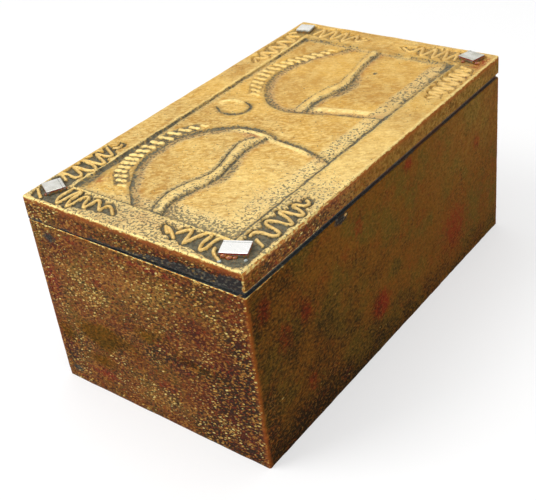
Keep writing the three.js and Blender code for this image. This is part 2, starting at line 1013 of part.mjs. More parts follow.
// A leaf: a plate on the wood, notched where the other leaf's knuckles turn. sign is -1 for the leaf
// on the wall and +1 for the leaf on the lid.
function leaf(y, sign) {
  const isMine = (index) => (index % 2 === 0) === sign < 0;
  const plate = new THREE.ExtrudeGeometry(
    roundedRectangle(
      -hingeLength / 2,
      -leafWidth,
      hingeLength / 2,
      -lidGap,
      leafCornerRadius,
    ),
    { depth: leafThickness, bevelEnabled: false, curveSegments: cornerSteps },
  );
  plate.rotateX(Math.PI / 2);
  plate.rotateZ(Math.PI / 2);
  if (sign > 0) plate.rotateX(Math.PI);
  plate.translate(rearFace - leafThickness, y, pinZ);
  let result = solidOf(plate);
  const notchReach = knuckleRadius + knuckleGap;
  for (let index = 0; index < knuckleCount; index++) {
    const [low, high] = knuckleSpan(index);
    if (isMine(index)) {
      const bridge = block(
        pinX,
        rearFace - swingClearance,
        y + low,
        y + high,
        sign < 0 ? pinZ - notchReach : pinZ,
        sign < 0 ? pinZ : pinZ + notchReach,
      );
      const shell = barrel(y, knuckleRadius, low, high, pinSides);
      const corner = barrel(y, knuckleRadius + leafThickness, low, high, pinSides);
      result = result.add(shell).add(bridge.intersect(corner));
    } else {
      result = result.subtract(
        block(
          rearFace - leafThickness - through,
          rearFace + through,
          y + low - knuckleGap,
          y + high + knuckleGap,
          pinZ - notchReach,
          pinZ + notchReach,
        ),
      );
    }
  }
  const bore = barrel(
    y,
    pinRadius + pinClearance,
    -hingeLength / 2 - through,
    hingeLength / 2 + through,
    pinSides,
  );
  const screwHoles = screwPlaces(y, sign).map((place) =>
    crossPost(
      place.y,
      place.z,
      rearFace - leafThickness - through,
      rearFace + through,
      screwRadius + screwHoleClearance,
    ),
  );
  return without(result, [bore, ...screwHoles]);
}

function hingePin(y) {
  const half = hingeLength / 2 + pinClearance;
  const tip = half + pinHeadHeight;
  const profile = [
    [0, -tip],
    [pinHeadRadius * pinHeadCrown, -tip],
    [pinHeadRadius, -half - pinHeadHeight * pinHeadCrown],
    [pinHeadRadius, -half],
    [pinRadius, -half],
    [pinRadius, half],
    [pinHeadRadius, half],
    [pinHeadRadius, half + pinHeadHeight * pinHeadCrown],
    [pinHeadRadius * pinHeadCrown, tip],
    [0, tip],
  ];
  const geometry = new THREE.LatheGeometry(
    profile.map(([r, z]) => new THREE.Vector2(r, z)),
    pinSides,
  );
  geometry.translate(pinX, y, pinZ);
  return solidOf(geometry);
}

function screwPlaces(y, sign) {
  return [-1, 1].map((end) => ({
    y: y + end * (hingeLength / 2 - screwInset),
    z: pinZ + sign * screwDrop,
  }));
}

// A round-headed slotted screw, driven along +X, with its head bearing on the leaf.
function hingeScrew(place) {
  const profile = [
    ...screwHeadCurve.map(([r, height]) => [screwHeadRadius * r, -screwHeadHeight * height]),
    [screwRadius, 0],
    [screwRadius, screwLength - screwPoint],
    [0, screwLength],
  ];
  const geometry = new THREE.LatheGeometry(
    profile.map(([r, x]) => new THREE.Vector2(r, x)),
    roundSides,
  );
  geometry.rotateZ(-Math.PI / 2);
  const seat = rearFace - leafThickness;
  geometry.translate(seat, place.y, place.z);
  const slot = block(
    seat - screwHeadHeight - through,
    seat - screwHeadHeight + slotDepth,
    place.y - slotWidth / 2,
    place.y + slotWidth / 2,
    place.z - screwHeadRadius - through,
    place.z + screwHeadRadius + through,
  );
  return solidOf(geometry).subtract(slot);
}

// The pilot holes for the screws of all the leaves on one side of the seam.
function pilotHoles(sign) {
  const places = hinges.flatMap(({ y }) => screwPlaces(y, sign));
  return places.map((place) =>
    crossPost(
      place.y,
      place.z,
      rearFace - through,
      rearFace - leafThickness + screwLength + pilotClearance,
      screwRadius + pilotClearance,
    ),
  );
}

// Brads, driven up through the bottom board into the middle of a wall

function bradPlaces() {
  const sideLine = frontFace - wallThickness / 2;
  const endLine = endFace - wallThickness / 2;
  const along = [-(endFace - bradEndInset), 0, endFace - bradEndInset];
  return [
    ...along.map((y, i) => ({ name: `front_${i + 1}`, x: sideLine, y })),
    ...along.map((y, i) => ({ name: `rear_${i + 1}`, x: -sideLine, y })),
    { name: "near", x: 0, y: -endLine },
    { name: "far", x: 0, y: endLine },
  ];
}

function brad(place) {
  const profile = [
    [0, bradSink],
    [bradHeadRadius, bradSink],
    [bradHeadRadius, bradSink + bradHeadThickness],
    [bradRadius, bradSink + bradHeadThickness],
    [bradRadius, bradLength - bradPoint],
    [0, bradLength],
  ];
  const geometry = new THREE.LatheGeometry(
    profile.map(([r, z]) => new THREE.Vector2(r, z)),
    bradSides,
  );
  geometry.rotateX(Math.PI / 2);
  geometry.translate(place.x, place.y, 0);
  return solidOf(geometry);
}

function bradHoles(place) {
  const shank = bradRadius + pilotClearance;
  return [
    post(place.x, place.y, -through, bradLength + pilotClearance, shank, bradSides),
    post(
      place.x,
      place.y,
      -through,
      bradSink + bradHeadThickness + pilotClearance,
      bradHeadRadius + pilotClearance,
      bradSides,
    ),
  ];
}

// The whole box

const box = new THREE.Group();

const brads = bradPlaces();
const bradCuts = brads.flatMap(bradHoles);

box.add(
  meshOf(
    "bottom_board",
    without(easedBlock(0, bottomThickness, seamEase), bradCuts),
    agedGilt,
  ),
);

const shell = easedBlock(bottomThickness, wallTop, seamEase);
const walls = [
  ["front_wall", longWall(1), []],
  ["rear_wall", longWall(-1), pilotHoles(-1)],
  ["near_end_wall", endWall(-1), []],
  ["far_end_wall", endWall(1), []],
];
for (const [name, plan, cuts] of walls) {
  box.add(meshOf(name, without(plan.intersect(shell), [...bradCuts, ...cuts]), agedGilt));
}

box.add(meshOf("lid_board", lidBoard(), gilt));
for (const corner of corners) box.add(tileMesh(corner));

for (const { name, y } of hinges) {
  box.add(meshOf(`${name}_hinge_base_leaf`, leaf(y, -1), brass));
  box.add(meshOf(`${name}_hinge_lid_leaf`, leaf(y, 1), brass));
  box.add(meshOf(`${name}_hinge_pin`, hingePin(y), brass));
  screwPlaces(y, -1).forEach((place, i) =>
    box.add(meshOf(`${name}_hinge_base_screw_${i + 1}`, hingeScrew(place), brass)),
  );
  screwPlaces(y, 1).forEach((place, i) =>
    box.add(meshOf(`${name}_hinge_lid_screw_${i + 1}`, hingeScrew(place), brass)),
  );
}

for (const place of brads) {
  box.add(meshOf(`bottom_brad_${place.name}`, brad(place), steel));
}

export default box;
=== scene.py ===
"""Looks of the carved and gilded wooden box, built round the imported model. Sizes in the tables are
millimetres in the box's own frame: X to the front, Y to the far end, Z up from the underside."""

import math

import bmesh
import bpy
import numpy as np
from mathutils import Matrix, Vector


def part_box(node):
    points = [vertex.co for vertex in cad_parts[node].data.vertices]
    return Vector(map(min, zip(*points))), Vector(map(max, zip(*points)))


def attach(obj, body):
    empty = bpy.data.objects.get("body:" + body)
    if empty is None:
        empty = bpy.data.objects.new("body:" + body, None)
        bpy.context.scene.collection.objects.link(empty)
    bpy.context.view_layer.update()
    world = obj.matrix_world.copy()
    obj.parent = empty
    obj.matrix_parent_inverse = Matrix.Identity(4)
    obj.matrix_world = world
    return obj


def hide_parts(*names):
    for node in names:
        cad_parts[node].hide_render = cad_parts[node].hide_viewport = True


bl_info = {
    "name": "Carved Gilt Box",
    "version": (1, 0, 0),
    "blender": (4, 5, 0),
    "location": "3D View > Sidebar > Box",
    "description": "Dresses the carved wooden box: relief lid, gilded walls, mirror chips and hinges",
    "category": "Object",
}

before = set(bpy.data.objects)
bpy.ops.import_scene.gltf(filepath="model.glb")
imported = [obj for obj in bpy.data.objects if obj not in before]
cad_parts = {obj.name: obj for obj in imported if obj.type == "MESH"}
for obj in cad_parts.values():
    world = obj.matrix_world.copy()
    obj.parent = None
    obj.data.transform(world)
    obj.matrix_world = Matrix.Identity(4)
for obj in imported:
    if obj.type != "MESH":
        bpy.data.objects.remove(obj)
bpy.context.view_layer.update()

MM = 0.001


def extent(node):
    """A node's box as two arrays in millimetres."""
    low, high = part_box(node)
    return np.array(low) / MM, np.array(high) / MM


FRONT_LOW, FRONT_HIGH = extent("front_wall")
HALF_X, HALF_Y, _ = extent("bottom_board")[1]
LID_FACE = 100.0
LID_BOTTOM = extent("lid_board")[0][2]
WALL_TOP = FRONT_HIGH[2]
SEAM = FRONT_LOW[2]
WALL = 8.0
LAP = 4.0

# The lid's panel, and how deep its parts are cut under the lid's face
PANEL_REAR, PANEL_FRONT = -45.0, 43.5
PANEL_NEAR, PANEL_FAR = -88.5, 86.0
PANEL_DEPTH = 0.7
FIELD_DEPTH = 1.35
GROUND_DEPTH = 1.2
BAND_EDGE = 33.8

# How far a hand-cut line strays from its course, and over what distance
WANDER = 0.28
WANDER_CELL = 4.3

# How far a groove's shape is looked for, how far its dark halo goes, and how dark the halo is
GROOVE_REACH = 5.5
GROOVE_HALO = 3.4
FRAME_HALO = 3.0
HALO_SHARE = 0.52

# Shadow gap under the lid
GAP_HEIGHT = 2.1
GAP_DEPTH = 1.2
GAP_START = -56.0

# Heights of the rings of points down the lid's side
LID_LEVELS = (98.4, 97.2, 96, 94.8, 93.6, 92.5, 91.6)

# Points closer than this are one, in metres
SAME_POINT = 0.000002

# How the wood's figure is stretched in boards that lie along the box and across it
LONG_GRAIN = (1.0, 0.05, 1.0)
CROSS_GRAIN = (0.05, 1.0, 1.0)


def srgb(red, green, blue):
    """A colour given as 0 to 255, as linear values."""

    def one(value):
        share = value / 255
        return share / 12.92 if share <= 0.04045 else ((share + 0.055) / 1.055) ** 2.4

    return (one(red), one(green), one(blue), 1.0)


def measure(name, description, size):
    return bpy.props.FloatProperty(name=name, description=description, default=size * MM, unit="LENGTH")


def colour(name, description, default):
    return bpy.props.FloatVectorProperty(
        name=name, description=description, default=default, subtype="COLOR", size=4, min=0, max=1
    )


class BoxSizes(bpy.types.PropertyGroup):
    """Sizes of the finish."""

    lid_cell: measure("Lid cell", "Spacing of the points that the lid's relief is carved with", 0.35)
    wall_cell: measure("Wall cell", "Spacing of the points of the walls' outer skin", 0.7)
    lid_ease: measure("Lid edge", "Radius of the lid's worn edges", 0.9)
    wall_ease: measure("Rim edge", "Radius of the worn edge round the top of the walls", 0.6)
    corner_round: measure("Corner round", "Radius of the upright corners", 1.2)
    stroke_half: measure("Stroke half width", "Half the width of the strokes in the lid's corners", 0.9)
    stroke_height: measure("Stroke height", "Height of the raised strokes over their ground", 1.4)
    grit_height: measure("Grit", "Height of the sand in the walls' coat", 0.16)
    lid_share: bpy.props.FloatProperty(
        name="Lid share",
        description="Share of the lid's triangles that is kept after carving",
        default=0.33,
        min=0.05,
        max=1.0,
        subtype="FACTOR",
    )


class BoxColours(bpy.types.PropertyGroup):
    """Colours of the finish."""

    gold: colour("Gold", "Gold paint on the lid", srgb(211, 166, 80))
    # Pale gold is rubbed gold, and painted highlight on the lid's crests and arrises.
    pale_gold: colour("Pale gold", "Rubbed highlights of the gold", srgb(248, 224, 150))
    deep_gold: colour("Deep gold", "Shaded, browner gold", srgb(160, 112, 46))
    ink: colour("Ground", "Dark grey paint in the hollows", srgb(102, 100, 84))
    rust: colour("Rust", "Red-brown undercoat", srgb(122, 34, 18))
    brown: colour("Brown", "Aged gold on the walls", srgb(110, 71, 21))
    olive: colour("Olive", "Greenish patches on the walls", srgb(97, 75, 24))
    umber: colour("Umber", "Darkest patches on the walls", srgb(34, 24, 13))
    grain: colour("Grain", "Gold grains on the walls", srgb(232, 212, 132))
    wood: colour("Wood", "Bare wood inside", srgb(190, 150, 104))
    wood_dark: colour("Wood grain", "Dark lines of the bare wood", srgb(140, 100, 62))
    mirror: colour("Mirror", "Silver of the mirror chips", srgb(245, 244, 240))
    brass: colour("Brass", "Hinges and screws", srgb(190, 150, 78))
    steel: colour("Steel", "Brads under the bottom board", srgb(128, 124, 118))
    floor: colour("Floor", "Plain pale floor", srgb(252, 252, 252))


# Curves and noise


def smooth(value, low, high):
    """0 below low, 1 above high, and an even curve between them."""
    share = np.clip((value - low) / (high - low), 0, 1)
    return share * share * (3 - 2 * share)


def fall(value, low, high):
    """1 below low, 0 above high, and an even curve between them."""
    return 1 - smooth(value, low, high)


def window(value, low, high, ease):
    """1 between low and high, with an even curve just inside each end."""
    return smooth(value, low, low + ease) * fall(value, high - ease, high)


def spot(x, y, place, spread):
    """A soft round spot: 1 in its middle, and fainter outwards."""
    return np.exp(-(((x - place[0]) / spread[0]) ** 2) - ((y - place[1]) / spread[1]) ** 2)


def dome_over(away, half, power=1.0):
    """A rounded top over a line: 1 on the line and 0 at half its width."""
    return np.clip(1 - (away / half) ** 2, 0, 1) ** power


def mix(first, second, share):
    return first + (second - first) * share


def bumps(x, y, cell, seed):
    """Soft random heights from -1 to 1, with one bump to a cell."""
    count = 97
    lattice = np.random.RandomState(seed).uniform(-1, 1, (count, count))
    u, v = x / cell, y / cell
    i, j = np.floor(u).astype(int), np.floor(v).astype(int)
    a, b = u - i, v - j
    a, b = a * a * (3 - 2 * a), b * b * (3 - 2 * b)
    i0, j0, i1, j1 = i % count, j % count, (i + 1) % count, (j + 1) % count
    low = mix(lattice[i0, j0], lattice[i1, j0], a)
    high = mix(lattice[i0, j1], lattice[i1, j1], a)
    return mix(low, high, b)


def spline(points, spacing=1.0):
    """Evenly spaced points of a smooth curve through the given ones."""
    knots = np.array(points, float)
    padded = np.vstack([2 * knots[0] - knots[1], knots, 2 * knots[-1] - knots[-2]])
    line = []
    for k in range(1, len(padded) - 2):
        p0, p1, p2, p3 = padded[k - 1 : k + 3]
        bend = 2 * p0 - 5 * p1 + 4 * p2 - p3
        twist = 3 * p1 - p0 - 3 * p2 + p3
        for t in np.linspace(0, 1, 12, endpoint=False):
            line.append(0.5 * (2 * p1 + (p2 - p0) * t + bend * t**2 + twist * t**3))
    line.append(knots[-1])
    line = np.array(line)
    lengths = np.concatenate([[0], np.cumsum(np.linalg.norm(np.diff(line, axis=0), axis=1))])
    even = np.linspace(0, lengths[-1], max(3, round(lengths[-1] / spacing) + 1))
    return np.column_stack([np.interp(even, lengths, line[:, k]) for k in (0, 1)])


def trace(line, x, y, reach):
    """The points within reach of a line: which they are, how far off, how far along as a share, and
    the distance with a sign that is positive on the line's left."""
    low, high = line.min(0) - reach, line.max(0) + reach
    found = np.flatnonzero((x > low[0]) & (x < high[0]) & (y > low[1]) & (y < high[1]))
    px, py = x[found], y[found]
    best = np.full(len(found), np.inf)
    share = np.zeros(len(found))
    side = np.ones(len(found))
    count = len(line) - 1
    for k in range(count):
        a, d = line[k], line[k + 1] - line[k]
        t = np.clip(((px - a[0]) * d[0] + (py - a[1]) * d[1]) / (d @ d), 0, 1)
        ox, oy = px - a[0] - t * d[0], py - a[1] - t * d[1]
        off = ox * ox + oy * oy
        nearer = off < best
        best = np.where(nearer, off, best)
        share = np.where(nearer, (k + t) / count, share)
        side = np.where(nearer, np.sign(d[0] * oy - d[1] * ox), side)
    off = np.sqrt(best)
    return found, off, share, off * np.where(side == 0, 1, side)


def from_edge(x, y):
    """How far inside the box's outline points lie."""
    return np.minimum(HALF_X - np.abs(x), HALF_Y - np.abs(y))


# The carving, as it lies on the lid


# The two domes: their outlines, the winding ribbons in them, and the combs of teeth behind them
DOMES = [
    {
        "line": [
            (-8.5, -93.5), (-12.5, -88.5), (-21, -80), (-28.5, -70), (-33, -60), (-34.5, -50),
            (-33.5, -38), (-30, -30), (-18, -18), (-7.5, -14.3), (4.5, -15), (9.8, -17.3),
            (22.5, -18.7), (33.8, -21.7), (43.9, -26.1), (51, -29.5),
        ],
        "turn": -1,
        "wide": [(0, 0.7), (0.22, 0.8), (0.3, 1.5), (0.5, 1.5), (0.66, 1.4), (0.74, 0.9), (1, 0.7)],
        "ridge": {"centre": -2.3, "half": 1.9, "height": 0.6, "low": 0.54, "high": 0.9},
        "left": [
            (0.6, -19.2), (-3.4, -22.5), (-4.2, -28.5), (-3, -35.1), (-0.3, -43.9), (1.2, -50.6),
            (0.5, -57.2), (-2.3, -64.6), (-4.6, -73.4), (-4.6, -78), (-3, -85.2), (-1.2, -89),
            (0.8, -93.5),
        ],
        "right": [
            (5.6, -17.2), (4.6, -21.5), (3.2, -28), (3.7, -36.6), (6, -46.9), (7.4, -55.7), (6, -64.6),
            (3.1, -74.9), (2.7, -80.8), (4.6, -86.5), (5.8, -89.5), (7.4, -94),
        ],
        "ribbon_cut": 0.7,
        "rise": 0.55,
        "comb": [
            ((-28.4, -78.2), (-24.2, -77.6)), ((-32.2, -75.2), (-27.6, -74.3)),
            ((-35.6, -72.9), (-29.6, -70.9)), ((-38.4, -69.6), (-33.0, -68.3)),
            ((-39.8, -66.0), (-33.8, -64.9)), ((-41.0, -62.7), (-34.4, -61.1)),
            ((-42.2, -59.3), (-35.9, -58.0)), ((-42.6, -55.8), (-36.2, -54.2)),
            ((-42.9, -51.8), (-36.9, -50.0)), ((-42.6, -47.2), (-37.0, -46.0)),
            ((-42.2, -42.2), (-35.9, -41.2)), ((-41.5, -37.0), (-34.9, -36.2)),
            ((-40.4, -31.9), (-34.7, -30.7)), ((-38.0, -27.0), (-32.6, -25.8)),
            ((-34.9, -22.9), (-30.6, -22.3)), ((-31.0, -19.5), (-27.4, -19.2)),
        ],
        "tooth": (1.4, 0.8),
        # Strength of the painted shade inside the line, and the Y where the painted shade beside the ribbon
        # is darkest, are given here.
        "shade": 0.6, "edge_depth": 0.62, "edge_dark": 0.9, "ribbon_dark": 0.95, "side_band": -50,
        "comb_dark": 0.72, "comb_shine": 0.9,
    },
    {
        "line": [
            (-8.6, 91.5), (-12, 86), (-18, 76.5), (-27, 64.7), (-32.3, 50.7), (-32.3, 39.7),
            (-29.3, 27.9), (-21, 16), (-13.5, 9.5), (-4.5, 7.2), (6, 9.5), (15, 12.4), (30, 16),
            (43.9, 18.4), (51, 19.6),
        ],
        "turn": 1,
        "wide": [(0, 0.5), (0.1, 0.7), (0.3, 1.3), (0.5, 1.5), (0.75, 1.1), (1, 0.7)],
        "ridge": {"centre": 4.6, "half": 2.9, "height": 0.75, "low": 0.7, "high": 0.94},
        "left": [
            (-3.8, 92), (-3.6, 86), (-3.3, 80.7), (-2.3, 71.1), (0, 60.8), (1.8, 50.4), (2.2, 43.1),
            (0, 34.2), (-1.4, 25.4), (-1.6, 16.5), (-1, 9.5),
        ],
        "right": [
            (3.1, 92), (2.9, 86), (2.7, 79.9), (3, 69.6), (4.8, 59.3), (7.6, 49), (9.1, 41.6),
            (7.1, 32.7), (4.7, 22.4), (5.3, 13), (5.5, 10),
        ],
        "ribbon_cut": 0.8,
        "rise": 0.6,
        "comb": [
            ((-24.6, 77.6), (-19.4, 78.6)), ((-27.2, 73.9), (-21.8, 75.0)),
            ((-30.0, 70.3), (-24.0, 71.4)), ((-32.6, 66.6), (-26.4, 67.7)),
            ((-35.0, 62.8), (-28.6, 63.9)), ((-37.2, 59.0), (-30.8, 60.0)),
            ((-39.0, 55.0), (-32.6, 56.0)), ((-40.4, 51.0), (-34.0, 51.8)),
            ((-41.2, 46.8), (-34.6, 47.4)), ((-41.4, 42.6), (-34.8, 43.0)),
            ((-41.0, 38.4), (-34.6, 38.6)), ((-40.0, 34.2), (-33.8, 34.2)),
            ((-38.2, 30.0), (-32.4, 29.8)), ((-36.0, 26.0), (-30.4, 25.6)),
            ((-33.2, 22.2), (-28.2, 21.6)), ((-30.0, 18.6), (-25.6, 18.0)),
        ],
        "tooth": (1.35, 0.65),
        # Strength of the painted shade inside the line, and the Y where the painted shade beside the ribbon
        # is darkest, are given here.
        "shade": 0.5, "edge_depth": 0.5, "edge_dark": 0.78, "ribbon_dark": 0.45, "side_band": 42,
        "comb_dark": 0.5, "comb_shine": 0.63,
    },
]

# The crescent between the domes, and the groove behind the near comb
MOON_RIDGE = [(-38.7, 1.5), (-37.6, 5.2), (-34, 7.8), (-30, 8.2), (-26.6, 7)]
MOON_LINE = [(-27, 6.6), (-22.6, 4.4), (-20.8, 0.4), (-22.2, -4), (-26.6, -7.2), (-32, -6.8), (-37, -3.6)]
MOON_WIDE = [(0, 0.5), (0.35, 1.2), (0.7, 1.1), (1, 0.5)]
COMB_GROOVE = [(-44.6, -54), (-41, -68), (-37.6, -74.4), (-31.6, -79), (-27.4, -81.6)]

# Raised strokes of the corners
STROKES = [
    [
        (47.3, -83.1), (47.1, -81.5), (47.7, -80.4), (49.6, -79.6), (52.3, -79.4), (55, -79.3),
        (56.3, -78.5), (56.6, -77.5), (56, -76.3), (54.2, -75.6), (51.9, -75), (49.4, -74.5),
        (47.5, -73.7), (46.8, -72.5), (47.5, -71.5), (49.6, -70.7), (51.9, -70.3), (54.2, -70.4),
        (56, -70.1), (57.1, -69.4), (56.7, -68.7), (55.2, -67.7), (52.9, -66.5), (50.4, -65.6),
        (47.4, -64.7), (47.7, -63.8), (49.6, -63.3), (52.3, -63.1), (55.4, -62.8), (56.9, -62),
        (56.5, -61), (55, -60.2), (52.7, -59.2), (50.4, -58.7), (49.2, -57.9), (49.8, -56.9),
        (51.7, -56.5), (53.5, -56.2), (54.2, -54.6), (53.7, -53.1), (52.1, -52.3),
    ],
    [(55.8, -86.6), (53.8, -85.8), (51.2, -84.5)],
    [(12.9, -93.6), (15, -95.6), (16.4, -96.6)],
    [(14.6, -93.9), (17.1, -95.2), (19, -96.8), (21, -98.3)],
    [
        (20.3, -95.2), (21.6, -92.9), (23.2, -91), (24.5, -91.2), (25.7, -95), (26.3, -97.4),
        (27.1, -99.4), (27.8, -97.6), (28.4, -95.4), (29.3, -92.6), (30.7, -90.2), (32.1, -89.6),
        (33.5, -89.7), (33.8, -91.5), (33.6, -94.7), (34.4, -97.8), (35.9, -99.9), (37.1, -98.3),
        (37.2, -94.7), (37.3, -91.9), (38.2, -90.1), (39.6, -89.5), (41.2, -89.5),
    ],
    [(40.4, -96.4), (41.3, -98.4), (43.2, -99.9), (45.6, -101.3), (46.8, -102)],
    [
        (-43.5, -90.3), (-43.7, -92.8), (-44.2, -95.5), (-44, -98.2), (-42.8, -100.4), (-41.5, -101.6),
        (-40.8, -99.6), (-40.5, -97.4), (-39.9, -94), (-38.9, -90.9), (-38.2, -90.6), (-37.6, -92.8),
        (-37.9, -96), (-37, -99.4), (-35.6, -101.8), (-34.8, -100), (-34.4, -97.5), (-34.2, -94.6),
        (-33.6, -92.6), (-32.4, -91.9), (-31.2, -93.2), (-30.4, -95.8), (-29.2, -98), (-27.7, -99.1),
        (-27.3, -96.8), (-27.3, -93.8), (-26.8, -92), (-25.6, -92), (-24.2, -93.6), (-22.3, -95.9),
        (-20.6, -97.4), (-20.1, -95.6), (-19.8, -93.9), (-19, -93), (-16.9, -94), (-14.8, -95.7),
        (-13, -97.2),
    ],
    [(-41.5, -88.8), (-39, -90)],
    [(-52.5, -86), (-55.5, -84.7), (-58, -83.6)],
    [
        (-58.2, -82.6), (-55, -82.5), (-52, -82.8), (-49.8, -82.7), (-48.6, -81.3), (-48.9, -80),
        (-50.6, -78.9), (-53.5, -77.8), (-56, -77), (-57.8, -76.4), (-56, -75.8), (-52, -75.8),
        (-49.5, -75.6), (-47.4, -74.8), (-46.7, -73.7), (-47.6, -72.5), (-49.5, -71.4), (-52, -70.8),
        (-55, -70.5), (-57.8, -70), (-55, -69.3), (-51, -69.1), (-48.2, -68.9), (-46.9, -67.9),
        (-47.7, -66.9), (-50, -65.9), (-53, -64.8), (-55.5, -63.7), (-57.2, -62.8), (-54.5, -62.6),
        (-51, -62.3), (-49.2, -61.2), (-49.6, -60.1), (-51.4, -59.1), (-54, -57.8), (-56.4, -56.6),
    ],
    [(-53.4, -55.2), (-51.8, -54.2), (-51.4, -52.6), (-52.2, -51.2)],
    [(-57.7, -97.5), (-54.6, -99.8), (-51.5, -101.6)],
    [
        (50.6, 49.6), (54.8, 52.4), (48.2, 55), (56.2, 57.4), (47.6, 60), (56.8, 62.6), (47.4, 65.4),
        (57, 68), (47.2, 70.8), (57, 73.6), (47.4, 76.2), (56.8, 79), (48, 81.4), (55, 84),
        (48.6, 86.4),
    ],
    [
        (10.8, 95.4), (16.4, 92.6), (19.8, 99.2), (23.6, 90.8), (26.8, 100.4), (30.4, 90.2),
        (33.2, 101), (36.8, 90.2), (39.6, 100), (41.4, 93),
    ],
    [
        (-51.6, 49.8), (-55, 53.6), (-49, 57), (-56.6, 60.8), (-48.4, 64.6), (-57, 68.6), (-48.2, 72.6),
        (-57.2, 76.4), (-48.4, 80.4), (-56.4, 84.2), (-50.4, 87),
    ],
    [
        (-12.8, 96.6), (-17.4, 93.4), (-20.6, 99.4), (-24.6, 90.8), (-27.8, 100.6), (-31.6, 90.6),
        (-34.8, 101), (-38.8, 90.8), (-41.8, 99.8), (-44.2, 92.6),
    ],
    [(-57.4, 88.6), (-55, 91.8)],
]

# The strokes' chiselled ground: a middle line with its half width at each point
GROUNDS = [
    [
        (11.6, -95.2, 0.4), (17, -96, 2.6), (24, -96, 4.9), (34, -96, 5.9), (46, -97, 6.8),
        (52, -97.6, 6.2),
    ],
    [
        (52.2, -50.6, 0.4), (52.2, -55, 3.6), (52, -62, 5.6), (52, -76, 6.0), (52, -88, 6.0),
        (52.4, -98, 6),
    ],
    [
        (-11, -97, 0.4), (-17, -96.4, 2.4), (-25, -96.4, 4.4), (-35, -96.6, 5.4), (-44, -96.8, 6.2),
        (-52, -97.4, 5.6),
    ],
    [
        (-52.4, -49.4, 0.4), (-52.6, -55, 3.2), (-52.8, -64, 5), (-53, -78, 5.4), (-53, -88, 5.6),
        (-52.6, -98, 5.8),
    ],
    [(9, 95.8, 0.4), (15, 95.6, 2.8), (24, 95.6, 5), (34, 95.6, 6), (46, 96, 6.8), (51, 96.6, 5.6)],
    [(51.6, 46.6, 0.4), (52, 52, 3.4), (52, 62, 5.2), (52, 76, 5.6), (51.6, 86, 5.8), (51.4, 96, 6)],
    [
        (-10.6, 96.2, 0.4), (-17, 96, 2.8), (-25, 95.8, 5), (-35, 95.8, 5.8), (-45, 96, 6.2),
        (-52, 97, 5),
    ],
    [
        (-52.6, 47, 0.4), (-52.8, 52, 3.2), (-52.8, 62, 4.8), (-52.8, 76, 5.2), (-52.8, 88, 5.2),
        (-52.4, 96, 5.2),
    ],
]

# Mirror chips: middle, width, length and turn in degrees
TILES = {
    "near_front": (48.1, -93.3, 11.6, 8.7, 24),
    "near_rear": (-52.4, -93.2, 9.3, 8.6, -28),
    "far_front": (48.2, 97.9, 9.8, 8.8, -14),
    "far_rear": (-52.4, 96.4, 8.2, 8.0, 12),
}

# How grey each chip's silver has gone, and how much red paint its edge carries
CHIP_WEAR = {
    "near_front": (0.0, 1.0),
    "near_rear": (0.6, 0.7),
    "far_front": (0.85, 1.0),
    "far_rear": (0.3, 0.2),
}

# Drops beside the chips: middle, half width, height, and 1 for red-brown paint or 0 for clear glue
GLUE = {
    "near_front": [
        (47.2, -102.2, 0.9, 0.75, 0), (55.6, -96.9, 0.8, 0.7, 0), (46.4, -98.9, 1.3, 1.1, 1),
        (48.9, -98.6, 1.4, 0.9, 1), (50.8, -97.4, 1.0, 0.7, 1),
    ],
    "far_front": [(53.6, 93.4, 1.4, 0.8, 1), (46.2, 92.6, 1.1, 0.7, 1)],
    "near_rear": [(-47.4, -90.6, 0.9, 0.7, 1), (-51.6, -98.6, 0.8, 0.6, 1)],
}

# Spots where the red undercoat shows on the lid: middle, half widths and amount
RUST_SPOTS = [
    (-39, -78.5, 2.6, 5.5, 0.8), (-4, -16.8, 5.0, 2.2, 0.9), (55, 94, 5.0, 6.0, 1.5),
    (57, 87.5, 2.2, 5.0, 0.7), (56, 77, 1.6, 1.6, 0.7), (44.6, -99.6, 3.2, 1.8, 0.9),
    (54.4, -98.4, 3.6, 2.2, 0.7), (-46, -97.2, 2.0, 1.8, 0.6), (51, -54, 4.0, 3.0, 0.5),
    (4, -94, 9.0, 4.0, 0.3), (30, -53, 2.0, 4.0, 0.3),
]

# The lines above are drawn as they are seen on the lid's face from a viewpoint at this Y and Z. Cut lines
# lie this deep under the face, so they are moved towards the far end to be seen in the same place.
CUT_DEPTH = 1.75
VIEW_Y, VIEW_Z = -320, 306


def cut_line(points, spacing):
    """A line drawn on the lid's face, moved to where it lies at the carving's depth."""
    drawn = np.array(points, float)
    drawn[:, 1] += CUT_DEPTH / (VIEW_Z - LID_FACE) * (drawn[:, 1] - VIEW_Y)
    return spline(drawn, spacing)


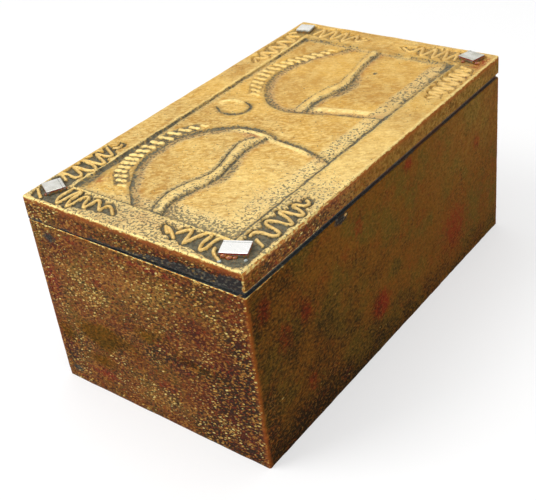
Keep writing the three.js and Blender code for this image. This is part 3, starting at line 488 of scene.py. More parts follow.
class Carving:
    """The relief of the lid: its height over the lid's face and what the paint does there."""

    def __init__(self, x, y, sizes):
        self.x, self.y = x, y
        self.wx = x + WANDER * bumps(x, y, WANDER_CELL, 11)
        self.wy = y + WANDER * bumps(x, y, WANDER_CELL, 12)
        for key in ("height", "dark", "shine", "rust", "ribbons", "in_field"):
            setattr(self, key, np.zeros_like(x))
        self.uneven = np.clip(0.92 + 0.25 * bumps(x, y, 6, 13) - 0.12 * smooth(y, -20, 60), 0, 1)
        self.edge = from_edge(x, y)
        self.stroke_half = sizes.stroke_half / MM
        self.stroke_height = sizes.stroke_height / MM
        self.panel()
        for dome in DOMES:
            self.field(dome)
        self.band()
        for dome in DOMES:
            self.edge_line(dome)
            self.ribbon(dome)
            self.comb(dome)
        self.moon()
        self.frame_lines()
        self.corners()
        self.surface()
        self.grit = self.specks()

    def lift(self, key, values, found=slice(None)):
        """Raises one of the paint's values to at least these, at some or all of the points."""
        held = getattr(self, key)
        held[found] = np.maximum(held[found], values)

    def darken(self, dark, away, half, core, halo, found=slice(None)):
        """Paints a groove's core dark, and a fainter halo beside it."""
        uneven = self.uneven[found]
        self.lift("dark", dark * fall(away, half * core[0], half * core[1]) * uneven, found)
        self.lift("dark", HALO_SHARE * dark * fall(away, half * 0.8, half + halo * uneven), found)

    def groove(self, line, half, depth, dark, taper=0.0):
        found, off, share, _ = trace(line, self.wx, self.wy, GROOVE_REACH)
        width = np.interp(share, *zip(*half)) if isinstance(half, list) else half
        keep = window(share, 0, 1, taper) if taper else 1.0
        keep = keep * smooth(self.inside[found], -0.4, 0.4)
        self.height[found] -= depth * np.clip(1 - off / width, 0, 1) ** 0.8 * keep
        self.darken(dark * keep, off, width, (0.45, 1.4), GROOVE_HALO, found)

    def ridge(self, line, centre, half, height, low, high, fade=0.06, reach=9.0):
        found, _, share, side = trace(line, self.wx, self.wy, reach)
        keep = window(share, low, high, fade)
        across = dome_over(side - centre, half)
        self.height[found] += height * keep * across**0.8
        # Pale gold on the ridge's crown: partly rubbed gold, partly a painted highlight.
        self.lift("shine", keep * smooth(across, 0.15, 0.9), found)

    def panel(self):
        x, y = self.wx, self.wy
        self.inside = np.minimum.reduce([x - PANEL_REAR, PANEL_FRONT - x, y - PANEL_NEAR, PANEL_FAR - y])
        self.height -= PANEL_DEPTH * smooth(self.inside, -0.1, 0.8)

    def field(self, dome):
        """Sinks the ground inside a dome, reddens it just inside the line, and lays painted shade there on
        the dome's rear part.
        """
        found, _, _, side = trace(cut_line(dome["line"], 1.6), self.wx, self.wy, 95)
        depth_in = side * dome["turn"]
        own_end = self.wy[found] * dome["turn"] > 0
        mask = smooth(depth_in, -0.2, 1.1) * smooth(self.inside[found], 0.3, 1.8) * own_end
        level = -FIELD_DEPTH + 0.4 * smooth(depth_in, 2.5, 17)
        self.height[found] = mix(self.height[found], level, mask)
        self.lift("in_field", mask, found)
        self.lift("rust", 0.45 * mask * fall(depth_in, 0.6, 6.5), found)
        # Painted shade: darker just inside the dome's line, fading inwards and towards the front.
        shade = mask * fall(depth_in, 0.4, 7.5) * fall(self.wx[found], 6, 22) * self.uneven[found]
        self.lift("dark", dome["shade"] * shade, found)

    def band(self):
        """Raises the strip in front of the domes."""
        edge = BAND_EDGE + 0.5 * bumps(self.x, self.y, 9, 21)
        near = self.in_field * (self.wy < 0)
        far = self.in_field * (self.wy > 0)
        sharp = smooth(self.wx, edge - 0.5, edge + 0.7)
        soft = smooth(self.wx, edge - 1.4, edge + 2.0)
        rise = mix(sharp, soft, np.maximum(near, 0.4 * self.in_field))
        level = np.maximum(-0.3 - 0.42 * near - 0.25 * far, self.height)
        self.height = mix(self.height, level, rise * smooth(self.inside, 0.0, 0.9))

    def edge_line(self, dome):
        self.groove(cut_line(dome["line"], 1.2), dome["wide"], dome["edge_depth"], dome["edge_dark"])
        self.ridge(cut_line(dome["line"], 1.2), **dome["ridge"])

    def ribbon(self, dome):
        """A winding band between two lines, raised and cut round."""
        left, right = cut_line(dome["left"], 1.5), cut_line(dome["right"], 1.5)
        found, _, _, side_left = trace(left, self.wx, self.wy, 12)
        sides = np.full(len(self.x), -1e3)
        sides[found] = side_left
        found, _, _, side_right = trace(right, self.wx, self.wy, 12)
        across = np.minimum(sides[found], -side_right)
        low, high = left[:, 1].min(), max(left[:, 1].max(), right[:, 1].max())
        ends = window(self.wy[found], low, high, 1.2) * smooth(self.inside[found], 0, 0.8)
        crown = smooth(across, 0.4, 3.0) * ends
        self.height[found] += dome["rise"] * smooth(across, -0.1, 1.5) * ends + 0.18 * crown
        # Pale gold on the ribbon's crown: rubbed gold and a painted highlight.
        self.lift("shine", 0.45 * crown, found)
        self.lift("ribbons", crown, found)
        self.groove(left, dome["ribbon_cut"] * 0.8, 0.42, dome["ribbon_dark"], taper=0.03)
        self.groove(right, dome["ribbon_cut"], 0.5, 0.95, taper=0.02)
        found, _, _, side = trace(right, self.wx, self.wy, 7)
        beside = (side > 0) * self.in_field[found]
        self.lift("rust", 0.4 * np.clip(1 - np.abs(side - 1.9) / 2.6, 0, 1) * beside, found)
        # Painted shade: a dark band beside the ribbon's right line, on the raised ribbon's shaded side.
        side_band = np.clip(1 - np.abs(side - 2.4) / 3.6, 0, 1) * beside
        side_band = side_band * np.exp(-(((self.wy[found] - dome["side_band"]) / 17) ** 2))
        self.lift("dark", 0.72 * side_band * self.uneven[found], found)

    def comb(self, dome):
        """A row of small pinched teeth in a shallow bed."""
        half, height = dome["tooth"]
        middle = spline([tuple((np.array(a) + np.array(b)) / 2) for a, b in dome["comb"]], 2.0)
        found, off, share, _ = trace(middle, self.wx, self.wy, 7)
        bed = np.zeros(len(self.x))
        bed[found] = fall(off, 3.1, 4.6) * window(share, 0, 1, 0.05)
        self.height -= 0.22 * bed
        cover, rise = np.zeros(len(self.x)), np.zeros(len(self.x))
        count = len(dome["comb"])
        for k, (start, end) in enumerate(dome["comb"]):
            swell = 0.72 + 0.28 * math.sin(math.pi * (k + 0.5) / count)
            trim = 0.04 + 0.1 * (1 - (k + 0.5) / count) ** 2
            start, end = np.array(start), np.array(end)
            tooth = np.array([mix(start, end, trim), mix(end, start, trim)])
            found, off, share, _ = trace(tooth, self.wx, self.wy, 3)
            pinch = np.exp(-(((share - 0.5 - 0.12 * math.sin(k * 2.7)) / 0.13) ** 2))
            arch = dome_over(off, half * swell * (1 - 0.4 * pinch), 0.55)
            rise[found] = np.maximum(rise[found], height * swell * arch * (1 - 0.35 * pinch))
            cover[found] = np.maximum(cover[found], smooth(arch, 0.15, 0.75))
        self.height += rise
        self.lift("dark", dome["comb_dark"] * bed)
        self.dark *= 1 - cover
        # Pale gold on the teeth: rubbed gold and a painted highlight.
        self.lift("shine", dome["comb_shine"] * cover)
        if dome["turn"] < 0:
            self.groove(spline(COMB_GROOVE, 1.5), 0.6, 0.3, 0.35)

    def moon(self):
        self.groove(cut_line(MOON_LINE, 1.0), MOON_WIDE, 0.5, 0.95)
        self.ridge(spline(MOON_RIDGE, 1.0), 0.0, 1.9, 0.55, -0.01, 1.01, fade=0.2, reach=3.0)
        self.height += 0.18 * fall(np.hypot(self.wx + 30, self.wy - 0.2), 3.0, 7.5)

    def frame_lines(self):
        """The cuts round the panel, and the arrises beside them, made pale gold as rubbed gold and painted
        highlight.
        """
        x, y = self.wx, self.wy
        along_y = window(y, PANEL_NEAR - 0.6, PANEL_FAR + 0.6, 1.2)
        along_x = smooth(x, PANEL_REAR - 0.6, PANEL_REAR + 0.6) * fall(x, PANEL_FRONT, PANEL_FRONT + 1.2)
        rear = 0.85 + 0.95 * fall(y, -46, -26) + 0.3 * smooth(y, 55, 80)
        front = 0.75 + 0.45 * smooth(y, -35, 20) + 0.7 * smooth(y, 62, 78)
        paint = 0.92 - 0.24 * smooth(y, -30, 0) + 0.14 * smooth(y, 55, 80)
        self.line_cut(x - (PANEL_REAR + 0.55 + 0.75 * (rear - 0.75)), rear, 0.45, paint, along_y)
        self.line_cut(x - (PANEL_FRONT + 0.15), front, 0.45, 0.95, along_y)
        self.line_cut(y - (PANEL_NEAR + 0.15), 0.62, 0.4, 0.9, along_x)
        self.line_cut(y - (PANEL_FAR - 0.2), 1.5, 0.3, 0.62, along_x)
        for offset, half, share in (
            (x - (PANEL_REAR - 0.9), 1.0, 1.0 * along_y),
            (y - (PANEL_NEAR - 0.9), 0.9, 0.95 * along_x),
            (x - (PANEL_FRONT + 1.3), 0.8, 0.5 * along_y),
        ):
            self.lift("shine", share * np.clip(1 - np.abs(offset) / half, 0, 1))

    def line_cut(self, offset, half, depth, dark, ends):
        away = np.abs(offset)
        self.height -= depth * np.clip(1 - away / half, 0, 1) * ends
        self.darken(dark * ends, away, half, (0.6, 1.3), FRAME_HALO)

    def corners(self):
        """The four corners: a chiselled ground with raised strokes, and the chips' beds."""
        x, y = self.x, self.y
        sunk = np.zeros_like(x)
        for ground in GROUNDS:
            line = spline([place[:2] for place in ground], 1.5)
            found, off, share, _ = trace(line, self.wx, self.wy, 9)
            width = np.interp(share, np.linspace(0, 1, len(ground)), [place[2] for place in ground])
            width = width + 0.55 * bumps(x[found], y[found], 2.6, 31)
            sunk[found] = np.maximum(sunk[found], fall(off, width - 0.9, width + 0.35))
        near_strokes = np.full(len(x), 9.0)
        for points in STROKES:
            found, off, _, _ = trace(spline(points, 1.5), x, y, 4)
            near_strokes[found] = np.minimum(near_strokes[found], off)
        sunk = np.maximum(sunk, fall(near_strokes + 0.4 * bumps(x, y, 2.6, 32), 1.7, 2.4))
        sunk *= fall(self.inside, -1.5, -0.8)
        sunk *= smooth(self.edge, 0.9, 2.2)
        self.sunk = sunk
        faded = 1 - 0.46 * smooth(y, 0, 40)
        self.height = mix(self.height, -GROUND_DEPTH + 0.12 * bumps(x, y, 1.4, 33), sunk)
        self.lift("dark", sunk * faded)
        rise, cover = np.zeros_like(x), np.zeros_like(x)
        for points in STROKES:
            found, off, _, _ = trace(spline(points, 0.9), x, y, 2.6)
            wave = 1 + 0.12 * bumps(x[found], y[found], 2.2, 35)
            arch = dome_over(off, self.stroke_half * wave, 0.55)
            high = self.stroke_height * np.where(y[found] > 0, 0.8, 1.0)
            rise[found] = np.maximum(rise[found], high * arch)
            cover[found] = np.maximum(cover[found], smooth(arch, 0.2, 0.7))
        clear = np.ones_like(x)
        for cx, cy, width, length, turn in TILES.values():
            along, across = turned(x - cx, y - cy, turn)
            away = np.maximum(np.abs(along) - width / 2, np.abs(across) - length / 2)
            clear *= smooth(away, 0.25, 0.7)
            bed = fall(away, 0.3, 0.9)
            self.height = mix(self.height, -GROUND_DEPTH, bed)
            self.lift("dark", bed * faded)
        self.strokes = cover * clear
        self.height = np.maximum(self.height, -GROUND_DEPTH - 0.05 + rise * clear)
        self.dark *= 1 - self.strokes
        # Pale gold on the strokes: their rubbed crowns and a painted highlight.
        self.shine = np.maximum(self.shine * (1 - sunk), 0.5 * self.strokes)
        self.lift("rust", 0.35 * self.strokes)

    def surface(self):
        """The board's unevenness, a hollow, a small hole, dull and rusty places, rubbed edges, and a painted
        sheen over the front of the near field.
        """
        x, y = self.x, self.y
        self.lift("rust", 0.8 * fall(x + HALF_X, 0.4, 1.5))
        dull = 0.27 * fall(y, -50, -20) + 0.22 * smooth(y, 8, 30)
        self.lift("dark", dull * smooth(x, 44.5, 46.5))
        self.height += 0.10 * bumps(x, y, 13, 41) + 0.05 * bumps(x, y, 4, 42)
        self.height += 0.035 * bumps(x, y, 1.5, 43) * (1 - self.sunk)
        hollow = spot(x, y, (10.4, 44.6), (3.4, 10))
        knot = spot(x, y, (13, 63.3), (1.4, 1.7))
        self.height -= 0.28 * hollow + 0.3 * knot
        self.lift("dark", 0.5 * smooth(hollow, 0.2, 0.95))
        self.lift("dark", 0.85 * smooth(knot, 0.25, 0.8))
        wedge = spot(x, y, (-42.6, -79), (3.6, 13)) * (self.inside > 0) * (1 - self.shine)
        self.lift("dark", 0.75 * spot(x, y, (-43.5, 84.2), (3.2, 4.0)))
        self.lift("dark", 0.75 * spot(x, y, (42, 84.5), (3.0, 4.5)))
        self.lift("dark", 0.8 * wedge)
        self.dark *= 1 - 0.75 * spot(x, y, (55, 94), (4.5, 6))
        for cx, cy, wide, long, amount in RUST_SPOTS:
            self.lift("rust", np.clip(amount * spot(x, y, (cx, cy), (wide, long)), 0, 1))
        strip = smooth(x, BAND_EDGE, BAND_EDGE + 2) * fall(y, 5, 45) * smooth(y, -84, -50)
        self.lift("shine", 0.32 * strip * (1 - self.dark) * (1 - self.sunk))
        # Painted sheen: pale gold over the front part of the near dome's field.
        sheen = smooth(x, 5, 18) * fall(y, -48, -20) * fall(self.dark, 0.1, 0.35) * self.in_field
        self.lift("shine", 0.26 * sheen)
        dusk = np.exp(-(((y - 38) / 14) ** 2)) * smooth(x, 33, 36) * fall(x, 42, 45)
        self.lift("dark", 0.27 * dusk)
        self.lift("dark", 0.2 * fall(x, -10, 8) * fall(y, -12, 10))
        self.lift("shine", 0.85 * fall(self.edge, 0.4, 1.5) * (1 - self.sunk))

    def specks(self):
        """How thickly the dark sand shows through the gold."""
        x, y = self.x, self.y
        near_side = fall(y, -30, 25)
        border = fall(self.inside, -0.6, 0.2)
        panel = smooth(self.inside, 0, 1)
        strip = smooth(x, 33, 36) * panel * fall(y, 78, 86)
        places = [
            0.06 + 0.14 * near_side + 0.1 * bumps(x, y, 11, 52),
            0.95 * border * fall(y, -86, -80),
            0.95 * border * smooth(x, 42, 45) * fall(y, -55, -10),
            0.25 * border * smooth(y, 15, 30),
            0.62 * self.ribbons * near_side,
            1.32 * fall(y, -84, -72) * smooth(x, -40, 10) * panel,
            0.95 * smooth(self.dark, 0.12, 0.4) * self.in_field,
            1.05 * smooth(x, 22, 40) * fall(y, -60, -10) * panel * (1 - 0.35 * smooth(x, 34, 36)),
            (0.86 - 0.08 * smooth(y, -5, 25)) * strip,
            0.7 * smooth(self.inside, 0, 0.5) * fall(self.inside, 1.5, 5),
        ]
        grit = np.maximum.reduce(places) * (1 - 0.4 * self.shine) * (1 - 0.9 * self.strokes)
        return np.clip(grit + 0.1 * bumps(x, y, 8, 51), 0, 1.5)


# Mesh helpers


def turned(dx, dy, degrees):
    """A place seen along and across a chip that is turned by some degrees."""
    angle = math.radians(degrees)
    along = dx * math.cos(angle) + dy * math.sin(angle)
    return along, dy * math.cos(angle) - dx * math.sin(angle)


def deselect():
    if bpy.context.object and bpy.context.object.mode != "OBJECT":
        bpy.ops.object.mode_set(mode="OBJECT")
    bpy.ops.object.select_all(action="DESELECT")


def choose(piece):
    deselect()
    bpy.context.view_layer.objects.active = piece
    piece.select_set(True)


def edit(piece, kind):
    """Opens a piece for editing by its edges or faces."""
    choose(piece)
    bpy.ops.object.mode_set(mode="EDIT")
    bpy.ops.mesh.select_mode(type=kind)


def pick_border():
    """Picks the open edges of the mesh that is being edited."""
    bpy.ops.mesh.select_all(action="DESELECT")
    bpy.ops.mesh.select_non_manifold(
        extend=False, use_wire=False, use_multi_face=False, use_non_contiguous=False
    )


def close_edit():
    """Turns every face outwards and ends the editing."""
    bpy.ops.mesh.select_all(action="SELECT")
    bpy.ops.mesh.normals_make_consistent(inside=False)
    bpy.ops.object.mode_set(mode="OBJECT")


def named(name):
    piece = bpy.context.object
    piece.name = name
    piece.data.name = name
    return piece


def lay_grid(name, across, along):
    """A grid primitive, and the row and column of each of its points."""
    deselect()
    bpy.ops.mesh.primitive_grid_add(x_subdivisions=across - 1, y_subdivisions=along - 1, size=2)
    piece = named(name)
    places = points_of(piece)
    column = np.rint((places[:, 0] + 1) / 2 * (across - 1)).astype(int)
    row = np.rint((places[:, 1] + 1) / 2 * (along - 1)).astype(int)
    return piece, column, row


def points_of(piece):
    """A piece's points in metres."""
    flat = np.zeros(len(piece.data.vertices) * 3)
    piece.data.vertices.foreach_get("co", flat)
    return flat.reshape(-1, 3)


def move_points(piece, places):
    piece.data.vertices.foreach_set("co", np.ascontiguousarray(places, float).ravel())
    piece.data.update()


def apply_modifiers(piece):
    choose(piece)
    for modifier in list(piece.modifiers):
        bpy.ops.object.modifier_apply(modifier=modifier.name)
    piece.vertex_groups.clear()


def store(piece, **values):
    """Keeps values for each point, which the materials read."""
    for name, each in values.items():
        attribute = piece.data.attributes.new(name, "FLOAT", "POINT")
        attribute.data.foreach_set("value", np.ascontiguousarray(each, np.float32))


def face_facts(piece):
    """Centres in millimetres and normals of a piece's faces."""
    count = len(piece.data.polygons)
    centres, normals = np.zeros(count * 3), np.zeros(count * 3)
    piece.data.polygons.foreach_get("center", centres)
    piece.data.polygons.foreach_get("normal", normals)
    return centres.reshape(-1, 3) / MM, normals.reshape(-1, 3)


def paint(piece, materials, index, soft_angle):
    """Gives each face its material, and shades edges flatter than the angle softly."""
    piece.data.materials.clear()
    for entry in materials:
        piece.data.materials.append(entry)
    piece.data.polygons.foreach_set("material_index", np.ascontiguousarray(index, np.int32))
    piece.data.update()
    choose(piece)
    bpy.ops.object.shade_smooth_by_angle(angle=math.radians(soft_angle))


def grit_coat(piece, weights, height, name):
    """Raises fine sand on the coated points with a displace modifier."""
    group = piece.vertex_groups.new(name="coat")
    for level in (0.25, 0.5, 0.75, 1.0):
        chosen = np.flatnonzero((weights > level - 0.25) & (weights <= level))
        if len(chosen):
            group.add([int(k) for k in chosen], level, "REPLACE")
    texture = bpy.data.textures.new(name, "CLOUDS")
    texture.noise_scale = 0.0011
    texture.noise_depth = 2
    texture.noise_type = "HARD_NOISE"
    modifier = piece.modifiers.new("sand", "DISPLACE")
    modifier.texture = texture
    modifier.texture_coords = "LOCAL"
    modifier.vertex_group = "coat"
    modifier.strength = height
    modifier.mid_level = 0.5
    apply_modifiers(piece)


def corner_pull(x, y, radius):
    """Rounds the box's upright corners: points in a corner's square are drawn in to its circle."""
    inner_x, inner_y = HALF_X - radius, HALF_Y - radius
    a, b = np.abs(x) - inner_x, np.abs(y) - inner_y
    inside = (a > 0) & (b > 0)
    scale = np.where(inside, np.maximum(a, b) / np.maximum(np.hypot(a, b), 1e-9), 1.0)
    px = np.where(inside, np.sign(x) * (inner_x + a * scale), x)
    py = np.where(inside, np.sign(y) * (inner_y + b * scale), y)
    return px, py


def outward(x, y, radius):
    """The outline's outward direction at a point on it."""
    a = np.maximum(np.abs(x) - (HALF_X - radius), 0) * np.sign(x)
    b = np.maximum(np.abs(y) - (HALF_Y - radius), 0) * np.sign(y)
    reach = np.maximum(np.hypot(a, b), 1e-9)
    return a / reach, b / reach


# Paint on the outer faces


# Marks of wear and paint on a face, by kind, where the darker gloom and the lighter glow are partly painted
# shade and painted light: middle along it, middle height, half widths, amount
MARKS = {
    ("front", "red"): [
        (-14.5, 24.3, 8, 8, 1.0), (-70.4, 59.2, 5, 7, 0.75), (-85.2, 55.6, 7, 10, 0.6),
        (-95.7, 76.6, 5, 7, 0.8), (-70.2, 21.8, 6, 8, 0.6), (-28.9, 76.2, 5, 8, 0.55),
        (55.6, 25.9, 17, 18, 0.6), (79.7, 63.2, 5, 5, 0.6), (13.2, 84.4, 5, 4, 0.65),
    ],
    ("front", "ink"): [(-41.2, 86.5, 6.0, 2.6, 1.0), (11, 89, 16, 1.6, 0.8)],
    ("near", "ink"): [(-48.5, 81.7, 5.5, 3.6, 0.8), (-52, 7.0, 5, 2.2, 0.85)],
    ("near", "gloom"): [
        (-54.2, 16, 3.4, 5, 1.0), (46, 30, 13, 14, 0.7), (42, 8, 14, 6, 0.75), (54, 62, 6, 12, 0.5),
        (-45, 77, 9, 5, 0.9), (8, 40, 16, 5, 0.5), (-22, 33, 14, 7, 0.35), (30, 58, 5, 6, 0.4),
        (-50, 20, 9, 7, 0.45),
    ],
    ("near", "red"): [
        (42, 46, 14, 4, 0.95), (47.4, 18.3, 3, 3, 1.0), (-54, 56, 6, 16, 0.85), (20, 37, 8, 4, 0.8),
        (-33, 12, 12, 4, 0.85), (-50, 2.5, 9, 2, 0.9), (-24, 66, 10, 4, 0.6), (12, 84.5, 26, 2.2, 0.85),
        (-36, 84, 7, 3, 0.7), (34, 62, 12, 3, 0.6), (52, 76, 7, 4, 0.6), (8, 22, 9, 4, 0.7),
        (33, 27, 7, 4, 0.7),
    ],
    ("near", "calm"): [
        (-30, 35, 18, 8, 1.0), (-52, 28, 8, 10, 0.8), (2, 48, 12, 5, 0.6), (-30, 20, 16, 5, 0.6),
        (30, 42, 14, 4, 0.6),
    ],
    ("near", "glow"): [
        (0, 70, 34, 7, 0.8), (-38, 66, 12, 8, 0.5), (6, 13, 16, 5, 0.9), (-30, 57, 16, 4, 0.7),
        (25, 53, 12, 4, 0.5), (-45, 40, 14, 4, 0.3),
    ],
}

# Middle along the front wall of the nick in its top edge
NICK_Y = mix(-HALF_Y, HALF_Y, 0.32)


class Skin:
    """The points of the outer sides, and how age, painted shade and painted light show there, from 0 to 1.
    """

    def __init__(self, places):
        self.x, self.y, self.z = places.T
        self.lid = self.z > (WALL_TOP + LID_BOTTOM) / 2
        to_front, to_rear = HALF_X - self.x, HALF_X + self.x
        self.to_near, to_far = HALF_Y + self.y, HALF_Y - self.y
        self.to_front = to_front
        self.near = self.to_near < np.minimum(np.minimum(to_front, to_rear), to_far)
        far = to_far < np.minimum(np.minimum(to_front, to_rear), self.to_near)
        self.end = self.near | far
        self.front = ~self.end & (self.x > 0)
        self.around = np.where(self.end, self.x, self.y)
        self.upright = np.where(self.end, np.minimum(to_front, to_rear), np.minimum(self.to_near, to_far))
        self.blotch = bumps(self.around, self.z, 9, 61)
        self.fleck = bumps(self.around, self.z, 1.7, 62)

    def values(self):
        marks = self.marks()
        grain = self.grain() - 0.5 * marks["calm"] + 0.12 * marks["glow"]
        found = marks | {"edge": self.edges(), "grain": grain, "rust": self.rust(), "glow": self.glow(marks)}
        return {key: np.clip(value, 0, 1) for key, value in found.items()}

    def grain(self):
        """How thickly gold grains lie on the coat."""
        y, z = self.y, self.z
        grain = np.where(self.end, 0.72, np.where(self.front, 0.2, 0.28))
        grain = grain + 0.14 * bumps(self.around, z, 16, 63) + 0.1 * self.blotch
        grain = grain + np.where(self.front, 0.12 * fall(y, -95, -40) * fall(z, 5, 50), 0)
        on_lid = np.where(self.front, 0.42 - 0.3 * smooth(y, -60, 30), 0.14)
        return np.where(self.lid, 0.8 * grain + on_lid, grain)

    def gloom(self):
        """How dark the coat is: darker glaze in patches, and painted shade that darkens the front wall and
        the lid's front towards the near end, the long walls near their foot, the end walls lower down and
        towards the front, and the lid's near side low down towards the front.
        """
        x, y, z, blotch = self.x, self.y, self.z, self.blotch
        on_end = 0.32 + 0.34 * smooth(x, -15, 45) - 0.14 * smooth(z, 55, 84)
        on_long = 0.62 - 0.5 * smooth(y, -100, 60)
        on_long = on_long + 0.35 * fall(z, 2, 22) - 0.2 * smooth(z, 35, 75) * smooth(y, -90, -60)
        gloom = np.where(self.end, on_end, on_long) + 0.18 * blotch
        lid_near = 0.44 + 0.5 * smooth(x, -40, 58) * fall(z, 94, 98.5) + 0.2 * blotch
        lid_front = 0.44 - 0.42 * smooth(y, -80, 10) + 0.35 * blotch
        gloom = np.where(self.lid & self.near, lid_near, gloom)
        return np.where(self.lid & self.front, lid_front, gloom)

    def marks(self):
        """The marks of the walls, and the painted foot of the lid's near side."""
        values = {kind: np.zeros_like(self.x) for kind in ("red", "ink", "calm", "glow")}
        values["gloom"] = self.gloom()
        faces = {"front": self.front & ~self.lid, "near": self.near & ~self.lid}
        for (face, kind), rows in MARKS.items():
            for middle, level, wide, tall, amount in rows:
                mark = amount * spot(self.around, self.z, (middle, level), (wide, tall)) * faces[face]
                if kind == "gloom":
                    values[kind] = values[kind] + 0.8 * mark
                else:
                    values[kind] = np.maximum(values[kind], mark)
        painted = LID_BOTTOM + 0.6 + 6.6 * smooth(self.x, -45, 58) + 0.8 * self.fleck + 1.2 * self.blotch
        foot = fall(self.z, painted - 1.4, painted + 1.2)
        values["ink"] = np.where(self.lid & self.near, foot, values["ink"])
        return values

    def edges(self):
        """Where edges are worn down to bright gold."""
        y, z, lid, front, fleck = self.y, self.z, self.lid, self.front, self.fleck
        near_corner = np.where(lid, 0.85, 0.16 + 0.5 * smooth(z, 66, 88))
        at_near_corner = (self.to_near < 4) & (self.to_front < 4)
        worn = np.where(at_near_corner, near_corner, 0.06 + 0.16 * smooth(z, -10, 75))
        corner = fall(self.upright + 0.4 * fleck, 0.15, np.where(lid, 1.5, 0.8)) * worn
        on_rim = np.where(self.end, 0.9, 0.75 * fall(y, -92, -62)) * ~lid
        rim = fall(WALL_TOP - z + 0.2 * fleck, 0.15, 0.75) * on_rim
        deep = np.where(front, fall(y, -80, 0), 0)
        lid_top = smooth(z - LID_FACE + 0.25 * fleck + deep, -1.3, -0.4) * lid
        lip = np.where(front, 0.8 * fall(y, -70, -30), 0.25)
        lid_foot = fall(z - LID_BOTTOM - GAP_HEIGHT - 0.2 * fleck, 0.2, 0.9) * lid * lip
        seam = 0.3 * fall(np.abs(z - SEAM), 0.3, 0.8) * (fleck > 0)
        nick = 1.2 * smooth(spot(y, z, (NICK_Y, 86.9), (1.6, 1.0)) * front * ~lid, 0.4, 0.9)
        return np.maximum.reduce([corner, rim, lid_top, lid_foot, seam, nick])

    def rust(self):
        under_top = 0.85 * smooth(self.z, 96.4, 98.8) * fall(self.z, 99.2, 99.8)
        corner = 0.7 * fall(self.upright + 0.4 * self.fleck, 0.4, 2.0)
        return np.where(self.lid, under_top, corner)

    def glow(self, marks):
        """Where the coat is a lighter gold: patches of it, and painted light that brightens the lid's front
        away from the near end and the front wall towards the far end and the top.
        """
        y, z = self.y, self.z
        on_lid = (0.85 + 0.3 * self.blotch) * smooth(y, -75, -25)
        glow = np.where(self.lid & self.front, on_lid, marks["glow"])
        return np.maximum(glow, 0.4 * smooth(y, 10, 90) * smooth(z, 40, 80) * self.front)


# Materials


class Nodes:
    """A short way to write a material's node tree."""

    def __init__(self, name):
        self.material = bpy.data.materials.new(name)
        self.material.use_nodes = True
        self.tree = self.material.node_tree
        self.shader = self.tree.nodes["Principled BSDF"]
        self.output = self.tree.nodes["Material Output"]
        self.coords = self.add("ShaderNodeTexCoord").outputs["Object"]

    def add(self, kind, **settings):
        node = self.tree.nodes.new(kind)
        for key, value in settings.items():
            setattr(node, key, value)
        return node

    def feed(self, socket, value):
        if isinstance(value, bpy.types.NodeSocket):
            self.tree.links.new(value, socket)
        elif value is not None:
            socket.default_value = value

    def noise(self, size, detail=2.0, roughness=0.5, warp=0.0, where=None):
        node = self.add("ShaderNodeTexNoise")
        self.feed(node.inputs["Vector"], where or self.coords)
        node.inputs["Scale"].default_value = 1 / size
        node.inputs["Detail"].default_value = detail
        node.inputs["Roughness"].default_value = roughness
        node.inputs["Distortion"].default_value = warp
        return node.outputs["Fac"]

    def cells(self, size, where):
        node = self.add("ShaderNodeTexVoronoi")
        self.feed(node.inputs["Vector"], where)
        node.inputs["Scale"].default_value = 1 / size
        return node

    def stretched(self, scale, place=(0, 0, 0), turn=(0, 0, 0), kind="POINT"):
        node = self.add("ShaderNodeMapping", vector_type=kind)
        self.feed(node.inputs["Vector"], self.coords)
        node.inputs["Scale"].default_value = scale
        node.inputs["Rotation"].default_value = turn
        node.inputs["Location"].default_value = place
        return node.outputs["Vector"]

    def drawn_out(self, scale, turn, place=(0, 0, 0)):
        """Coordinates whose pattern is turned first and then drawn out."""
        return self.stretched(scale, place, turn, "TEXTURE")

    def along(self, axis):
        """The place along one of the part's axes, in metres."""
        split = self.add("ShaderNodeSeparateXYZ")
        self.feed(split.inputs[0], self.coords)
        return split.outputs[axis]

    def value(self, name):
        return self.add("ShaderNodeAttribute", attribute_name=name).outputs["Fac"]

    def math(self, operation, first, second=None):
        node = self.add("ShaderNodeMath", operation=operation)
        self.feed(node.inputs[0], first)
        self.feed(node.inputs[1], second)
        return node.outputs[0]

    def times(self, first, second):
        return self.math("MULTIPLY", first, second)

    def plus(self, first, second):
        return self.math("ADD", first, second)

    def most(self, first, second):
        return self.math("MAXIMUM", first, second)

    def ragged(self, value, noise, amount):
        """A value made uneven by a noise that is 0.5 on average."""
        return self.plus(value, self.times(self.math("SUBTRACT", noise, 0.5), amount))

    def ramp(self, value, low, high, out_low=0.0, out_high=1.0):
        node = self.add("ShaderNodeMapRange", interpolation_type="SMOOTHSTEP")
        entries = {"Value": value, "From Min": low, "From Max": high, "To Min": out_low, "To Max": out_high}
        for key, entry in entries.items():
            self.feed(node.inputs[key], entry)
        return node.outputs["Result"]

    def blend(self, share, first, second):
        node = self.add("ShaderNodeMix", data_type="RGBA")
        self.feed(node.inputs["Factor"], share)
        self.feed(node.inputs[6], first)
        self.feed(node.inputs[7], second)
        return node.outputs[2]

    def coat(self, colour, layers):
        """Lays colours over one another: each by its share, in the order given."""
        for share, layer in layers:
            colour = self.blend(share, colour, layer)
        return colour

    def set(self, **values):
        for key, entry in values.items():
            self.feed(self.shader.inputs[key.replace("_", " ")], entry)

    def bump(self, height, strength, distance):
        node = self.add("ShaderNodeBump")
        node.inputs["Strength"].default_value = strength
        node.inputs["Distance"].default_value = distance
        self.feed(node.inputs["Height"], height)
        self.feed(self.shader.inputs["Normal"], node.outputs["Normal"])


